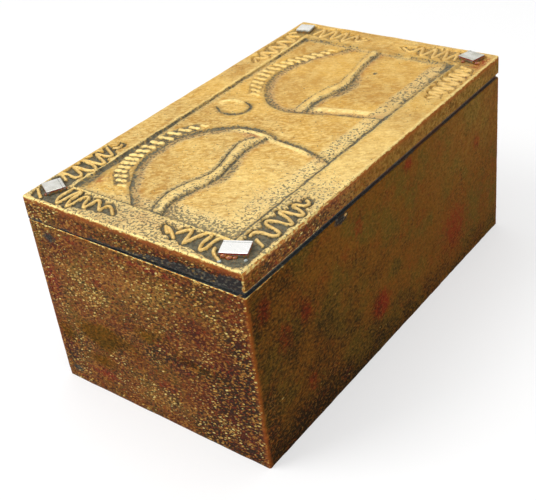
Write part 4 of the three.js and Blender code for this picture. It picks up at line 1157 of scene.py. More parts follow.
def gilt_material(colours):
    """Gold paint on the carving, with dark sand showing through it and in the hollows, painted shade that
    the dark value carries beside the lines and inside the domes, and pale gold on the crests that is rubbed
    gold and painted highlight.
    """
    m = Nodes("gilt_relief")
    dark, shine = m.value("dark"), m.value("shine")
    grit, rust = m.value("grit"), m.value("rust")
    wide = m.noise(0.026, 2.5, 0.55)
    cloud = m.noise(0.0062, 3, 0.55)
    fine = m.noise(0.0021, 3, 0.6)
    sand = m.noise(0.00115, 2, 0.55)
    foil = m.noise(0.0014, 3, 0.6, 0.3, where=m.drawn_out((1.7, 1, 1), (0, 0, math.radians(36))))
    far = m.ramp(m.along("Y"), -0.03, 0.05)
    paler = m.ramp(m.plus(foil, m.times(grit, 0.13)), 0.44, 0.68, 0, 0.55)
    deeper = m.ramp(foil, 0.46, 0.3, 0, 0.3)
    sandy_gold, red, shaded_gold = srgb(226, 208, 162), srgb(150, 62, 38), srgb(136, 112, 66)
    gold = m.coat(
        colours.gold,
        [
            (m.ramp(wide, 0.34, 0.66, 0, 0.6), colours.deep_gold),
            (m.ramp(cloud, 0.4, 0.68, 0, 0.28), colours.pale_gold),
            (m.times(paler, m.ramp(far, 0, 1, 1, 0.5)), colours.pale_gold),
            (m.times(deeper, m.ramp(far, 0, 1, 1, 0.35)), colours.deep_gold),
            (m.ramp(sand, 0.5, 0.36, 0, 0.22), colours.deep_gold),
            (m.ramp(grit, 0.1, 0.9, 0, 0.28), sandy_gold),
            (m.times(rust, m.ramp(fine, 0.34, 0.6)), red),
            (m.ramp(dark, 0.05, 0.8, 0, 0.72), shaded_gold),
            # Pale gold where the relief is rubbed, with painted highlights on crests and arrises.
            (m.times(shine, m.ramp(fine, 0.3, 0.62, 0.35, 0.95)), colours.pale_gold),
        ],
    )
    specks = m.ramp(m.plus(sand, m.times(grit, 0.2)), 0.68, 0.74)
    hollow = m.ramp(m.ragged(dark, sand, 1.5), 0.45, 0.85)
    shadowed = m.most(m.times(specks, 0.82), hollow)
    ground = m.blend(m.ramp(fine, 0.42, 0.62, 0.0, 0.75), colours.ink, srgb(62, 61, 54))
    dust = m.noise(0.0008, 2, 0.6, where=m.stretched((1, 1, 1), turn=(0.3, 0.2, 0.1)))
    ground = m.blend(m.ramp(dust, 0.57, 0.7, 0, 0.55), ground, colours.deep_gold)
    m.set(Base_Color=m.blend(shadowed, gold, ground), Metallic=m.ramp(shadowed, 0, 1, 0.32, 0.0))
    m.set(Roughness=m.ramp(shadowed, 0, 1, 0.46, 0.72), Specular_IOR_Level=0.22)
    m.set(Specular_Tint=srgb(255, 208, 130))
    grains = m.math("SUBTRACT", m.plus(foil, m.times(sand, 0.4)), m.times(shadowed, 0.35))
    m.bump(m.plus(grains, m.times(fine, 0.6)), 0.75, 0.0007)
    return m.material


def aged_material(colours):
    """Sanded gilding on the sides: brown and red glazes, gold grains, gold where it is worn, and painted
    shade and light where the gloom and glow values are.
    """
    m = Nodes("aged_gilt")
    edge, grain, gloom = m.value("edge"), m.value("grain"), m.value("gloom")
    lean = (0, math.radians(-20), 0)
    level, long = (1.7, 1.7, 1.0), (2.1, 2.1, 1.0)
    wide = m.noise(0.021, 3, 0.55)
    other = m.noise(0.018, 3, 0.6, where=m.stretched((1, 1, 1.2), turn=(0.4, 0.3, 0.2)))
    fine = m.noise(0.0019, 4, 0.62)
    small = m.noise(0.0011, 3, 0.6, where=m.drawn_out(level, lean))
    grit = m.noise(0.0011, 2, 0.5, where=m.drawn_out(level, lean, (0.3, 0.2, 0.1)))
    spark = m.noise(0.00085, 1, 0.5, where=m.drawn_out(level, lean, (0.1, 0.4, 0.2)))
    coarse = m.ramp(grain, 0.25, 0.6, 0.3, 1.0)
    in_spots = m.ramp(fine, 0.36, 0.6)

    patch = m.times(m.times(m.ramp(other, 0.52, 0.66, 0, 0.5), in_spots), m.ramp(grain, 0.3, 0.6, 0.6, 1))
    redder = m.times(m.ramp(other, 0.42, 0.58, 0, 0.42), m.ramp(grain, 0.45, 0.62))
    patch = m.most(patch, m.times(redder, in_spots))
    patch = m.most(patch, m.ramp(m.ragged(m.value("red"), fine, 1.1), 0.15, 0.8, 0, 0.9))
    reddish = m.times(m.ramp(other, 0.42, 0.6, 0.1, 0.85), m.ramp(grain, 0.35, 0.6))
    # The dark colour that the dark grit grains and the painted shade of the gloom value are laid in.
    darkening = m.blend(reddish, colours.umber, srgb(70, 23, 9))
    inked = m.ragged(m.value("ink"), fine, 0.9)
    tar = m.blend(m.ramp(grit, 0.5, 0.66), srgb(34, 36, 37), srgb(84, 82, 72))
    light_gold, calm_gold, amber = srgb(160, 124, 58), srgb(104, 74, 20), srgb(150, 96, 32)
    red_brown, bronze, copper = srgb(122, 40, 14), srgb(160, 108, 44), srgb(158, 84, 36)
    coat = m.coat(
        colours.brown,
        [
            (m.ramp(wide, 0.42, 0.6), colours.olive),
            # Lighter gold where the glow value is: pale patches and painted light.
            (m.times(m.value("glow"), m.ramp(fine, 0.38, 0.6, 0.2, 1)), light_gold),
            (m.times(m.value("calm"), 0.6), calm_gold),
            (patch, colours.rust),
            (m.times(m.ramp(fine, 0.48, 0.7, 0, 0.6), coarse), amber),
            # Dark coat where the gloom value is: glaze patches and painted shade.
            (m.ramp(m.ragged(gloom, small, 1.8), 0.1, 1.0, 0, 0.95), darkening),
            (m.times(m.ramp(grit, 0.5, 0.6, 0, 0.85), coarse), darkening),
            (m.times(m.ramp(small, 0.48, 0.36, 0, 0.7), coarse), red_brown),
            (m.times(m.ramp(spark, 0.54, 0.66, 0, 0.75), coarse), bronze),
            (m.times(m.value("rust"), 0.75), copper),
            (m.ramp(inked, 0.35, 0.75, 0, 0.92), tar),
        ],
    )

    thickness = m.plus(m.times(grain, 0.6), m.times(m.math("SUBTRACT", wide, 0.5), 1.08))
    flakes = []
    for size, least in ((0.00125, 1.2), (0.00082, 1.16)):
        fleck = m.cells(size, m.drawn_out(long, lean, (size * 90, 0.2, 0.1)))
        picked = m.ramp(m.plus(fleck.outputs["Color"], thickness), least, least + 0.08)
        flakes.append(m.times(m.ramp(fleck.outputs["Distance"], 0.42, 0.2), picked))
    flakes = m.times(m.most(flakes[0], m.times(flakes[1], 0.7)), m.ramp(inked, 0.4, 0.8, 1.0, 0.35))
    worn = m.ramp(m.ragged(edge, fine, 1.3), 0.35, 0.85)
    flake_gold = m.blend(m.ramp(small, 0.46, 0.62), srgb(192, 148, 64), colours.grain)
    worn_gold = m.blend(m.ramp(small, 0.42, 0.62), srgb(182, 118, 50), colours.grain)
    coat = m.coat(coat, [(m.times(flakes, 0.95), flake_gold), (m.times(worn, 0.85), worn_gold)])
    bright = m.most(worn, flakes)
    m.set(Base_Color=coat, Metallic=m.ramp(bright, 0, 1, 0.2, 0.45))
    m.set(Roughness=m.ramp(bright, 0, 1, 0.55, 0.36), Specular_IOR_Level=m.ramp(grain, 0.35, 0.65, 0, 0.06))
    m.bump(m.plus(m.plus(small, m.times(flakes, 0.5)), m.times(fine, 0.8)), 0.6, 0.0005)
    return m.material


def ink_material(colours):
    """The dark paint in the gap under the lid and on the walls' rim, worn off far along the front."""
    m = Nodes("ink_paint")
    sand = m.noise(0.0012, 3, 0.6)
    wide = m.noise(0.011, 3, 0.5)
    bare = m.times(m.ramp(m.along("Y"), -0.045, 0.03), m.ramp(wide, 0.36, 0.62, 0.15, 0.8))
    ink = m.coat(
        srgb(62, 64, 62),
        [
            (m.ramp(wide, 0.35, 0.6), srgb(38, 44, 50)),
            (m.ramp(sand, 0.54, 0.68, 0, 0.6), srgb(120, 120, 108)),
            (m.ramp(m.noise(0.0016, 2, 0.6), 0.66, 0.76, 0, 0.5), colours.deep_gold),
            (m.times(bare, m.ramp(m.along("X"), 0.05, 0.056)), srgb(104, 66, 40)),
        ],
    )
    m.set(Base_Color=ink, Roughness=0.7, Metallic=0.0, Specular_IOR_Level=0.25)
    m.bump(sand, 0.5, 0.0003)
    return m.material


def wood_material(name, colours, along):
    """Bare sawn wood, with its grain along the board."""
    m = Nodes(name)
    figure = m.noise(0.0042, 4, 0.6, 0.5, where=m.stretched(along))
    pores = m.noise(0.0006, 2, 0.6, where=m.stretched(along))
    wood = m.coat(
        colours.wood,
        [
            (m.ramp(figure, 0.34, 0.7, 0, 0.7), colours.wood_dark),
            (m.ramp(pores, 0.54, 0.68, 0, 0.5), colours.wood_dark),
            (m.ramp(m.noise(0.05, 2, 0.5), 0.5, 0.8, 0, 0.3), colours.brown),
        ],
    )
    m.set(Base_Color=wood, Roughness=m.ramp(pores, 0.3, 0.7, 0.6, 0.78))
    m.bump(m.plus(pores, m.times(figure, 0.4)), 0.4, 0.0003)
    return m.material


def metal_material(name, tint, dull, rough):
    """Worn metal of the hinges, screws and brads."""
    m = Nodes(name)
    stain = m.noise(0.004, 4, 0.6)
    scuff = m.noise(0.0006, 3, 0.6, where=m.stretched((1, 0.12, 1)))
    m.set(Base_Color=m.blend(m.ramp(stain, 0.42, 0.72, 0, 0.75), tint, dull), Metallic=0.9)
    m.set(Roughness=m.ramp(m.plus(stain, m.times(scuff, 0.5)), 0.5, 1.0, rough, rough + 0.25))
    m.bump(scuff, 0.25, 0.00008)
    return m.material


def mirror_material(colours):
    """Silvered glass with dust, tarnish and one worn line across it."""
    m = Nodes("mirror_chip")
    dust = m.noise(0.0018, 4, 0.6)
    rubs = m.noise(0.0007, 2, 0.5, where=m.stretched((0.3, 1, 1), turn=(0, 0, 0.5)))
    darkening = m.times(m.ramp(dust, 0.5, 0.75), 0.25)
    away = m.math("ABSOLUTE", m.math("SUBTRACT", m.value("across"), 0.84))
    worn_line = m.times(m.ramp(away, 0.03, 0.0), m.ramp(dust, 0.36, 0.52, 0.2, 0.9))
    tarnish = m.times(m.value("tarnish"), m.ramp(m.noise(0.004, 2, 0.5), 0.3, 0.6, 0.55, 1.0))
    silver = m.coat(
        colours.mirror,
        [(darkening, srgb(196, 200, 198)), (tarnish, srgb(176, 174, 158)), (worn_line, srgb(128, 132, 128))],
    )
    m.set(Base_Color=silver, Metallic=0.85, Roughness=m.ramp(m.plus(dust, rubs), 0.7, 1.3, 0.06, 0.3))
    m.bump(dust, 0.08, 0.0001)
    return m.material


def glass_edge_material(colours):
    """The chips' broken edges: dull glass, a line of red paint and the ground's paint at the foot."""
    m = Nodes("chip_edge")
    scrape = m.noise(0.0011, 3, 0.6)
    side_band = m.ramp(m.ragged(m.value("paint"), scrape, 1.2), 0.35, 0.7)
    foot = m.ramp(m.ragged(m.value("foot"), scrape, 1.2), 0.35, 0.65)
    glass = m.blend(m.ramp(scrape, 0.4, 0.7), srgb(186, 194, 190), srgb(120, 128, 124))
    ground = m.blend(m.ramp(scrape, 0.45, 0.6), colours.ink, colours.deep_gold)
    paint_drop = m.blend(m.ramp(scrape, 0.4, 0.65), srgb(124, 52, 30), srgb(196, 132, 66))
    layers = [(side_band, srgb(136, 30, 28)), (foot, ground), (m.value("drop"), paint_drop)]
    m.set(Base_Color=m.coat(glass, layers), Metallic=0.0, Specular_IOR_Level=0.5)
    m.set(Roughness=m.ramp(side_band, 0, 1, 0.25, 0.5))
    m.bump(scrape, 0.3, 0.0002)
    return m.material


MATERIALS = {}


def material(name, maker, *values):
    """A material, made the first time that a piece asks for it."""
    if name not in MATERIALS:
        MATERIALS[name] = maker(*values)
    return MATERIALS[name]


def board_materials(colours, way):
    """The coat, the dark paint and the bare wood of a board that lies "long" or "cross"."""
    grain = LONG_GRAIN if way == "long" else CROSS_GRAIN
    return [
        material("aged", aged_material, colours),
        material("ink", ink_material, colours),
        material("wood_" + way, wood_material, "bare_wood_" + way, colours, grain),
    ]


def dress(piece, body, slot, *nodes):
    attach(piece, body)
    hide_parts(*nodes)


# Operators


class GILTBOX_OT_stage(bpy.types.Operator):
    """Lays the floor, sets the lamps and places the camera"""

    bl_idname = "giltbox.stage"
    bl_label = "Stage"

    def execute(self, context):
        deselect()
        bpy.ops.mesh.primitive_plane_add(size=12)
        floor = named("floor")
        m = Nodes("floor")
        m.set(Base_Color=context.scene.gilt_box_colours.floor, Roughness=0.9, Specular_IOR_Level=0.1)
        self.whiten(m)
        floor.data.materials.append(m.material)
        self.world(context)
        self.lamps()
        self.camera(context)
        context.scene.view_settings.view_transform = "Standard"
        return {"FINISHED"}

    def seen_clear(self, tree):
        """1 for the rays that should find a white studio, 0 for the rest."""
        path = tree.nodes.new("ShaderNodeLightPath")
        seen = path.outputs["Is Camera Ray"]
        for kind in ("Is Glossy Ray", "Is Transmission Ray"):
            most = tree.nodes.new("ShaderNodeMath")
            most.operation = "MAXIMUM"
            tree.links.new(seen, most.inputs[0])
            tree.links.new(path.outputs[kind], most.inputs[1])
            seen = most.outputs[0]
        return seen

    def whiten(self, m):
        """Part of the floor that a camera, a mirror or glass sees is plain white."""
        glow = m.add("ShaderNodeEmission")
        glow.inputs["Strength"].default_value = 1.0
        blend = m.add("ShaderNodeMixShader")
        m.feed(blend.inputs[0], m.times(self.seen_clear(m.tree), 0.5))
        m.feed(blend.inputs[1], m.shader.outputs[0])
        m.feed(blend.inputs[2], glow.outputs[0])
        m.feed(m.output.inputs["Surface"], blend.outputs[0])

    def world(self, context):
        """A pale studio that looks white and lights softly."""
        world = bpy.data.worlds.new("studio")
        context.scene.world = world
        world.use_nodes = True
        tree = world.node_tree
        background = tree.nodes["Background"]
        level = tree.nodes.new("ShaderNodeMapRange")
        level.inputs["To Min"].default_value = 0.45
        level.inputs["To Max"].default_value = 1.0
        tree.links.new(self.seen_clear(tree), level.inputs["Value"])
        tree.links.new(level.outputs["Result"], background.inputs["Strength"])
        background.inputs["Color"].default_value = (1, 1, 1, 1)

    def lamps(self):
        """Square lamps, each with its place, size and power, aimed at the box's middle."""
        aim = Vector((0, 0, 0.06))
        for name, place, size, power in (
            ("key", (-0.5, -0.62, 1.0), 0.6, 7.5),
            ("fill", (0.9, -0.7, 0.75), 0.9, 3.0),
            ("top", (-0.05, 0.1, 1.3), 1.2, 6.8),
        ):
            bpy.ops.object.light_add(type="AREA", location=place)
            lamp = named(name)
            lamp.data.size = size
            lamp.data.energy = power
            lamp.rotation_euler = (aim - Vector(place)).to_track_quat("-Z", "Y").to_euler()

    def camera(self, context):
        """The camera, as fitted to the corners of the box in the picture."""
        bpy.ops.object.camera_add()
        camera = named("camera")
        right = Vector((0.8041, 0.5862, -0.0994)).normalized()
        down = Vector((0.2421, -0.4755, -0.8458)).normalized()
        back = right.cross(-down).normalized()
        up = back.cross(right).normalized()
        turn = Matrix((right, up, back)).transposed().to_4x4()
        camera.matrix_world = Matrix.Translation((0.2603, -0.3198, 0.3062)) @ turn
        camera.data.lens = 66.71
        camera.data.sensor_width = 36
        camera.data.shift_x = -0.0264
        camera.data.shift_y = -0.0791
        camera.data.clip_start = 0.01
        camera.data.clip_end = 50
        context.scene.camera = camera


class GILTBOX_OT_lid(bpy.types.Operator):
    """Carves the lid in low relief and paints it"""

    bl_idname = "giltbox.lid"
    bl_label = "Carved lid"

    def execute(self, context):
        sizes, colours = context.scene.gilt_box_sizes, context.scene.gilt_box_colours
        radius = sizes.corner_round / MM
        cell = sizes.lid_cell / MM * 1
        xs, ys = self.marks(HALF_X, cell), self.marks(HALF_Y, cell)
        piece, column, row = lay_grid("carved_lid", len(xs), len(ys))
        x, y = xs[column], ys[row]
        edge = from_edge(x, y)
        height = self.top_height(x, y, edge, sizes)
        px, py = corner_pull(x, y, radius)
        move_points(piece, np.column_stack([px, py, LID_FACE + height]) * MM)
        self.spare(piece, edge, sizes.lid_share)
        self.sides(piece, radius)
        self.finish(piece, sizes, colours)
        dress(piece, "lid", "gilt_lid", "lid_board")
        return {"FINISHED"}

    def marks(self, half, cell):
        """Where the grid's lines lie along one axis: even, and closer at the worn edges."""
        steps = [0, 0.1, 0.3, 0.6, 0.95, 1.25]
        inner = half - steps[-1]
        middle = np.linspace(-inner, inner, round(2 * inner / cell) + 1)
        rim = [half - step for step in steps[:-1]]
        return np.concatenate([-np.array(rim), middle, rim[::-1]])

    def top_height(self, x, y, edge, sizes):
        """The carved and worn face's height over the lid's flat face."""
        ease = sizes.lid_ease / MM
        carved = Carving(x, y, sizes).height * smooth(edge, 0.0, 0.8)
        drop = ease - np.sqrt(np.clip(ease**2 - np.clip(ease - edge, 0, ease) ** 2, 0, None))
        waste = 0.2 * bumps(x, y, 7, 71) + 0.08 * bumps(x, y, 2.3, 72)
        return carved - drop + waste * fall(edge, 0, 2.5) * 0.5

    def spare(self, piece, edge, share):
        """Drops the triangles that the carving doesn't need, away from the lid's edges."""
        group = piece.vertex_groups.new(name="carved")
        group.add([int(k) for k in np.flatnonzero(edge > 1.3)], 1.0, "REPLACE")
        modifier = piece.modifiers.new("spare", "DECIMATE")
        modifier.vertex_group = "carved"
        modifier.ratio = share
        apply_modifiers(piece)

    def sides(self, piece, radius):
        """Draws the top's edge down to the shadow gap, in under it and across the underside."""
        edit(piece, "EDGE")
        pick_border()
        steps = [("side", level) for level in LID_LEVELS]
        steps += [("lip", 0.25), ("lip", 0.0), ("roof", 0.5), ("roof", 1.0)]
        steps += [("inner", 0.5), ("inner", 0.0), ("under", 2.5)]
        for kind, amount in steps:
            bpy.ops.mesh.extrude_edges_move()
            mesh = bmesh.from_edit_mesh(piece.data)
            chosen = [vertex for vertex in mesh.verts if vertex.select]
            places = np.array([vertex.co for vertex in chosen]) / MM
            for vertex, *place in zip(chosen, *self.ring(kind, amount, places, radius)):
                vertex.co = [step * MM for step in place]
            bmesh.update_edit_mesh(piece.data)
        bpy.ops.mesh.edge_face_add()
        bpy.ops.mesh.select_all(action="SELECT")
        bpy.ops.mesh.quads_convert_to_tris()
        close_edit()

    def ring(self, kind, amount, places, radius):
        """Where the next ring of points goes, starting from the last one's places."""
        x, y, z = places.T
        nx, ny = outward(x, y, radius)
        run = smooth(x, GAP_START, GAP_START + 6) * np.where(nx < -0.5, 0, 1)
        gap = GAP_HEIGHT * np.clip((x - GAP_START) / (HALF_X - GAP_START), 0, 1)
        gap = np.where(nx > 0.5, GAP_HEIGHT, gap) * run
        if kind == "side":
            return x, y, np.maximum(np.full_like(x, amount), LID_BOTTOM + gap + 0.5)
        if kind == "lip":
            inset = 0.0 if amount else 0.22
            return x - nx * inset, y - ny * inset, LID_BOTTOM + gap + amount
        if kind == "roof":
            reach = GAP_DEPTH * 0.5 * run
            return x - nx * reach, y - ny * reach, LID_BOTTOM + gap + 0.05 * run
        if kind == "inner":
            return x, y, mix(np.full_like(x, LID_BOTTOM), z, amount)
        inward_x = np.clip(x, -HALF_X + 4, HALF_X - 4)
        inward_y = np.clip(y, -HALF_Y + 4, HALF_Y - 4)
        return inward_x, inward_y, np.full_like(x, LID_BOTTOM)

    def finish(self, piece, sizes, colours):
        """Stores what the materials read, and gives each face its material."""
        places = points_of(piece) / MM
        x, y, z = places.T
        carving = Carving(x, y, sizes)
        top = smooth(z, LID_FACE - 2.6, LID_FACE - 2.0)
        aged = Skin(places).values()
        on_side = (from_edge(x, y) < 0.35) & (z < LID_FACE - 0.3)
        aged["rust"] = np.where(on_side, aged["rust"], carving.rust)
        store(piece, dark=carving.dark * top, shine=carving.shine * top, grit=carving.grit, **aged)
        centres, normals = face_facts(piece)
        x, y, z = centres.T
        edge = from_edge(x, y)
        gap = np.where(x < GAP_START, 0, GAP_HEIGHT * (x - GAP_START) / (HALF_X - GAP_START))
        gap = np.where(HALF_X - x < GAP_DEPTH + 0.3, GAP_HEIGHT, gap)
        in_gap = (z < LID_BOTTOM + gap + 0.35) & ((normals[:, 2] < -0.3) | (edge > 0.3)) & (x > GAP_START)
        index = np.zeros(len(centres), int)
        index[(z < LID_FACE - 0.4) & (edge < 0.35)] = 1
        index[in_gap] = 2
        index[(z < LID_BOTTOM + 0.05) & (edge > 3)] = 3
        gilt = material("gilt", gilt_material, colours)
        paint(piece, [gilt, *board_materials(colours, "long")], index, 50)


class GILTBOX_OT_walls(bpy.types.Operator):
    """Coats the four walls in sanded, aged gilding over bare wood"""

    bl_idname = "giltbox.walls"
    bl_label = "Walls"

    def execute(self, context):
        sizes, colours = context.scene.gilt_box_sizes, context.scene.gilt_box_colours
        for name, axis, side in (
            ("front_wall", "x", 1),
            ("rear_wall", "x", -1),
            ("near_end_wall", "y", -1),
            ("far_end_wall", "y", 1),
        ):
            piece = self.shape(name, axis, side, sizes)
            self.close(piece, axis, side)
            self.finish(piece, name, axis, side, sizes, colours)
            dress(piece, "case", "aged_gilt_case", name)
        return {"FINISHED"}

    def profile(self, sizes):
        """Offsets in from the outer face, and heights, round a wall's closed section."""
        cell = sizes.wall_cell / MM * 1
        ease = sizes.wall_ease / MM
        outer = [(0.35, SEAM), (0.1, SEAM + 0.1), (0.0, SEAM + 0.4)]
        low, high = SEAM + 0.9, WALL_TOP - ease - 0.3
        outer += [(0.0, level) for level in np.linspace(low, high, round((high - low) / cell) + 1)]
        for degrees in (0, 22, 45, 68, 90):
            angle = math.radians(degrees)
            outer.append((ease * (1 - math.cos(angle)), WALL_TOP - ease * (1 - math.sin(angle))))
        outer += [(offset, WALL_TOP) for offset in (1.1, 1.7, 2.6, 4.0, 6.0, WALL - 0.3)]
        inner = [(WALL, level) for level in (WALL_TOP - 0.3, 60, 30, SEAM + 0.3)]
        return np.array([*outer, *inner, (WALL - 0.3, SEAM), (4.0, SEAM), outer[0]])

    def stations(self, axis, cell):
        """Places along a wall, and the wall's thickness there: long walls are thin at their laps."""
        if axis == "y":
            reach = HALF_X - LAP
            runs = np.linspace(-reach, reach, round(2 * reach / cell) + 1)
            return runs, np.full(len(runs), WALL)
        rebate = HALF_Y - WALL
        ends = np.array([-HALF_Y + step for step in (0, 0.05, 0.2, 0.5, 0.85, 1.2, 2.2, 4, 6)])
        middle = np.linspace(-rebate, rebate, round(2 * rebate / cell) + 1)
        thin = np.full(len(ends) + 1, LAP)
        runs = np.concatenate([ends, [-rebate], middle, [rebate], -ends[::-1]])
        return runs, np.concatenate([thin, np.full(len(middle), WALL), thin])

    def shape(self, name, axis, side, sizes):
        """Draws the section along the wall, uneven where it is coated and round at the corners."""
        radius = sizes.corner_round / MM
        section = self.profile(sizes)
        runs, thick = self.stations(axis, sizes.wall_cell / MM * (1))
        piece, column, row = lay_grid(name + "_coat", len(runs), len(section))
        run, wide = runs[column], thick[column]
        offset, z = section[row].T
        coated = (offset < 0.9) & (z > SEAM + 0.05)
        wobble = 0.10 * bumps(run, z, 14, 81 + side) + 0.05 * bumps(run, z, 4, 83 + side)
        offset = np.minimum(offset, wide) + np.where(coated, np.abs(wobble), 0)
        if axis == "x":
            turn = np.clip(np.abs(run) - (HALF_Y - radius), 0, radius)
            pull = radius - np.sqrt(np.clip(radius**2 - turn**2, 0, None))
            drawn_in = np.maximum(offset, offset + pull * (1 - offset / wide))
            out = HALF_X - np.where(offset < wide, drawn_in, offset)
            places = np.column_stack([side * out, run, z])
        else:
            places = np.column_stack([run, side * (HALF_Y - offset), z])
        move_points(piece, places * MM)
        return piece

    def close(self, piece, axis, side):
        """Joins the section's ends and closes the wall's two ends."""
        edit(piece, "EDGE")
        bpy.ops.mesh.select_all(action="SELECT")
        bpy.ops.mesh.remove_doubles(threshold=SAME_POINT)
        pick_border()
        bpy.ops.mesh.fill_holes(sides=0)
        bpy.ops.mesh.select_all(action="SELECT")
        bpy.ops.mesh.normals_make_consistent(inside=False)
        if axis == "x":
            self.cut_ends(piece, side)
        bpy.ops.object.mode_set(mode="OBJECT")

    def cut_ends(self, piece, side):
        """Cuts a long wall's two end faces into a net, so that their wear follows the edges."""
        bpy.ops.mesh.select_mode(type="FACE")
        cuts = [((side * (HALF_X - step), 0, 0), (1, 0, 0)) for step in (0.4, 0.9, 1.6, 2.6)]
        cuts += [((0, 0, level), (0, 0, 1)) for level in np.linspace(SEAM + 0.6, WALL_TOP - 0.6, 28)]
        for place, normal in cuts:
            bpy.ops.mesh.select_all(action="DESELECT")
            mesh = bmesh.from_edit_mesh(piece.data)
            for face in mesh.faces:
                face.select = bool(abs(face.calc_center_median().y) > (HALF_Y - 0.01) * MM)
            bmesh.update_edit_mesh(piece.data)
            bpy.ops.mesh.bisect(plane_co=[step * MM for step in place], plane_no=normal)

    def finish(self, piece, name, axis, side, sizes, colours):
        """Sands the coat, stores what the materials read, and gives each face its material."""
        places = points_of(piece) / MM
        skin = HALF_X - np.abs(places[:, 0]) if axis == "x" else HALF_Y - np.abs(places[:, 1])
        weights = fall(skin, 0.5, 0.9) * smooth(places[:, 2], SEAM + 0.1, SEAM + 0.6)
        grit_coat(piece, weights, sizes.grit_height * (1.3 if axis == "y" else 0.8), name + "_sand")
        store(piece, **Skin(points_of(piece) / MM).values())
        x, y, z = face_facts(piece)[0].T
        if axis == "x":
            depth, at_end, way = HALF_X - side * x, np.abs(y) > HALF_Y - 0.5, "long"
        else:
            depth, at_end, way = HALF_Y - side * y, np.zeros(len(y), bool), "cross"
        index = np.where((depth < 0.75) | at_end, 0, 2)
        index[(z > WALL_TOP - 0.1) & (depth < 3) & ~at_end & (depth > 0.42)] = 1
        paint(piece, board_materials(colours, way), index, 50)


class GILTBOX_OT_bottom(bpy.types.Operator):
    """Makes the thin bottom board with its worn edge"""

    bl_idname = "giltbox.bottom"
    bl_label = "Bottom board"

    def execute(self, context):
        sizes, colours = context.scene.gilt_box_sizes, context.scene.gilt_box_colours
        deselect()
        bpy.ops.mesh.primitive_cube_add(size=1, location=(0, 0, SEAM * MM / 2))
        piece = named("bottom_board_coat")
        piece.scale = (2 * HALF_X * MM, 2 * HALF_Y * MM, SEAM * MM)
        bpy.ops.object.transform_apply(location=True, rotation=False, scale=True)
        edit(piece, "EDGE")
        self.pick(piece, lambda a, b: abs(a.z - b.z) > MM)
        bpy.ops.mesh.bevel(offset=sizes.corner_round, segments=5, affect="EDGES")
        self.pick(piece, lambda a, b: abs(a.z - b.z) < SAME_POINT)
        bpy.ops.mesh.bevel(offset=0.35 * MM, segments=3, affect="EDGES")
        self.net(3.0)
        bpy.ops.mesh.select_all(action="SELECT")
        bpy.ops.mesh.remove_doubles(threshold=SAME_POINT)
        close_edit()
        self.wear(piece, sizes.corner_round / MM)
        store(piece, **Skin(points_of(piece) / MM).values())
        normals = face_facts(piece)[1]
        aged, _, wood = board_materials(colours, "long")
        paint(piece, [aged, wood], np.where(np.abs(normals[:, 2]) > 0.9, 1, 0), 40)
        dress(piece, "case", "aged_gilt_case", "bottom_board")
        return {"FINISHED"}

    def pick(self, piece, wanted):
        """Picks the edges whose two ends are as wanted."""
        bpy.ops.mesh.select_all(action="DESELECT")
        mesh = bmesh.from_edit_mesh(piece.data)
        for edge in mesh.edges:
            edge.select = wanted(edge.verts[0].co, edge.verts[1].co)
        bmesh.update_edit_mesh(piece.data)

    def net(self, step):
        """Cuts the board across both ways, so that its rim can be uneven."""
        for normal, half in (((1, 0, 0), HALF_X), ((0, 1, 0), HALF_Y)):
            count = int(half // step)
            for k in range(-count, count + 1):
                place = [k * step * MM * share for share in normal]
                bpy.ops.mesh.select_all(action="SELECT")
                bpy.ops.mesh.bisect(plane_co=place, plane_no=normal)

    def wear(self, piece, radius):
        """Draws the rim in a little, unevenly."""
        places = points_of(piece)
        x, y, z = (places / MM).T
        nx, ny = outward(x, y, radius)
        pull = (0.12 + 0.12 * bumps(x + 3 * y, z, 6, 91)) * (from_edge(x, y) < 0.5) * MM
        places[:, 0] -= nx * pull
        places[:, 1] -= ny * pull
        move_points(piece, places)


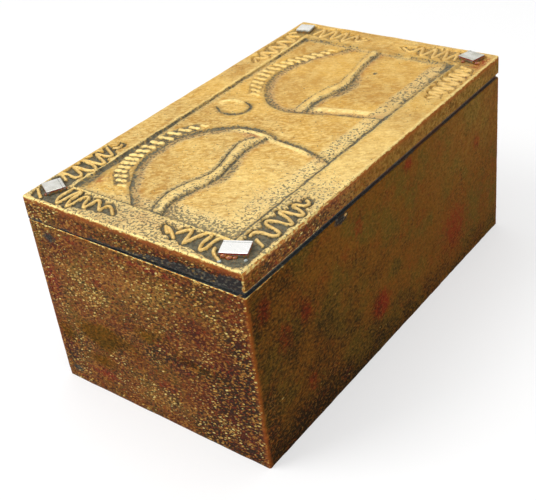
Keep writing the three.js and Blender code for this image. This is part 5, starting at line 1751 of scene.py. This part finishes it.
class GILTBOX_OT_tiles(bpy.types.Operator):
    """Sets the four hand-cut mirror chips"""

    bl_idname = "giltbox.tiles"
    bl_label = "Mirror chips"

    def execute(self, context):
        colours = context.scene.gilt_box_colours
        glass = material("mirror", mirror_material, colours)
        broken = material("chip_edge", glass_edge_material, colours)
        for k, corner in enumerate(TILES):
            node = "mirror_tile_" + corner
            low, high = extent(node)
            piece = self.chip(corner, low[2], high[2], 30 * k)
            own = len(piece.data.vertices)
            drop = self.beads(piece, corner, low[2])
            self.wear(piece, corner, own, drop, high[2])
            centres, normals = face_facts(piece)
            index = np.where((normals[:, 2] > 0.9) & (centres[:, 2] > high[2] - 0.3), 0, 1)
            paint(piece, [glass, broken], index, 30)
            dress(piece, "lid", "mirror_chip", node)
        return {"FINISHED"}

    def chip(self, corner, foot, top, shift):
        """A plate of glass with a broken rim, turned and set in its place."""
        cx, cy, width, length, turn = TILES[corner]
        deselect()
        bpy.ops.mesh.primitive_cube_add(size=1)
        piece = named("mirror_chip_" + corner)
        piece.scale = (width * MM, length * MM, (top - foot) * MM)
        bpy.ops.object.transform_apply(location=False, rotation=False, scale=True)
        edit(piece, "EDGE")
        bpy.ops.mesh.select_all(action="SELECT")
        bpy.ops.mesh.subdivide(number_cuts=5)
        bpy.ops.mesh.select_all(action="DESELECT")
        bpy.ops.mesh.edges_select_sharp(sharpness=math.radians(40))
        bpy.ops.mesh.bevel(offset=0.22 * MM, segments=2, affect="EDGES")
        bpy.ops.object.mode_set(mode="OBJECT")
        x, y, z = (points_of(piece) / MM).T
        broken_x = self.broken(x, 2 * y + shift, z, width, 101)
        broken_y = self.broken(y, 2 * x + shift, z, length, 102)
        move_points(piece, np.column_stack([broken_x, broken_y, z]) * MM)
        piece.location = (cx * MM, cy * MM, (foot + top) / 2 * MM)
        piece.rotation_euler = (0, 0, math.radians(turn))
        choose(piece)
        bpy.ops.object.transform_apply(location=True, rotation=True, scale=True)
        return piece

    def broken(self, place, beside, z, size, seed):
        """Places along one axis, with the plate's rim drawn in unevenly."""
        rim = smooth(np.abs(place), size / 2 - 0.6, size / 2 - 0.1)
        return place - np.sign(place) * np.abs(0.16 * bumps(beside, z, 2.1, seed)) * rim

    def beads(self, piece, corner, foot):
        """Squeezes out the drops beside a chip, and gives each point's share of drop paint."""
        kinds = [np.zeros(len(piece.data.vertices))]
        for x, y, half, tall, painted in GLUE.get(corner, ()):
            before = len(piece.data.vertices)
            deselect()
            place = (x * MM, y * MM, (foot + 0.35 * tall) * MM)
            bpy.ops.mesh.primitive_uv_sphere_add(segments=14, ring_count=8, radius=1, location=place)
            drop = bpy.context.object
            drop.scale = (half * MM, 0.75 * half * MM, tall * MM)
            drop.rotation_euler = (0, 0, math.radians(35))
            bpy.ops.object.transform_apply(location=True, rotation=True, scale=True)
            piece.select_set(True)
            bpy.context.view_layer.objects.active = piece
            bpy.ops.object.join()
            kinds.append(np.full(len(piece.data.vertices) - before, painted))
        return np.concatenate(kinds)

    def wear(self, piece, corner, own, drop, top):
        """Stores what the glass and its edges read."""
        cx, cy, _, length, turn = TILES[corner]
        tarnish, red = CHIP_WEAR[corner]
        x, y, z = (points_of(piece) / MM).T
        on_chip = np.arange(len(drop)) < own
        below = top - z
        store(
            piece,
            paint=red * smooth(below, 0.1, 0.3) * fall(below, 0.75, 1.0) * on_chip,
            foot=smooth(below, 0.6, 1.1) * on_chip,
            drop=drop,
            tarnish=np.full(len(drop), tarnish),
            across=turned(x - cx, y - cy, turn)[1] / length + 0.5,
        )


class GILTBOX_OT_hardware(bpy.types.Operator):
    """Finishes the hinges, screws and brads"""

    bl_idname = "giltbox.hardware"
    bl_label = "Hardware"

    def execute(self, context):
        colours = context.scene.gilt_box_colours
        brass = material("brass", metal_material, "hinge_brass", colours.brass, srgb(120, 86, 42), 0.3)
        steel = material("steel", metal_material, "brad_steel", colours.steel, srgb(84, 66, 50), 0.38)
        for name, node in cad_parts.items():
            finish = brass if "hinge" in name else steel if "brad" in name else None
            if finish:
                node.data.materials.clear()
                node.data.materials.append(finish)
                ease = node.modifiers.new("ease", "BEVEL")
                ease.width = 0.12 * MM
                ease.segments = 2
                ease.limit_method = "ANGLE"
                ease.angle_limit = math.radians(40)
        return {"FINISHED"}


class GILTBOX_PT_panel(bpy.types.Panel):
    """Lists the steps of the box"""

    bl_label = "Carved Gilt Box"
    bl_idname = "GILTBOX_PT_panel"
    bl_space_type = "VIEW_3D"
    bl_region_type = "UI"
    bl_category = "Box"

    def draw(self, context):
        for operator in OPERATORS:
            self.layout.operator(operator.bl_idname)
        for group in (context.scene.gilt_box_sizes, context.scene.gilt_box_colours):
            for key in group.__annotations__:
                self.layout.prop(group, key)


OPERATORS = [
    GILTBOX_OT_stage,
    GILTBOX_OT_lid,
    GILTBOX_OT_walls,
    GILTBOX_OT_bottom,
    GILTBOX_OT_tiles,
    GILTBOX_OT_hardware,
]
CLASSES = [BoxSizes, BoxColours, *OPERATORS, GILTBOX_PT_panel]


def register():
    for entry in CLASSES:
        bpy.utils.register_class(entry)
    bpy.types.Scene.gilt_box_sizes = bpy.props.PointerProperty(type=BoxSizes)
    bpy.types.Scene.gilt_box_colours = bpy.props.PointerProperty(type=BoxColours)


def unregister():
    del bpy.types.Scene.gilt_box_colours
    del bpy.types.Scene.gilt_box_sizes
    for entry in reversed(CLASSES):
        bpy.utils.unregister_class(entry)


def main():
    register()
    bpy.ops.giltbox.stage()
    bpy.ops.giltbox.lid()
    bpy.ops.giltbox.walls()
    bpy.ops.giltbox.bottom()
    bpy.ops.giltbox.tiles()
    bpy.ops.giltbox.hardware()


if __name__ == "__main__":
    main()
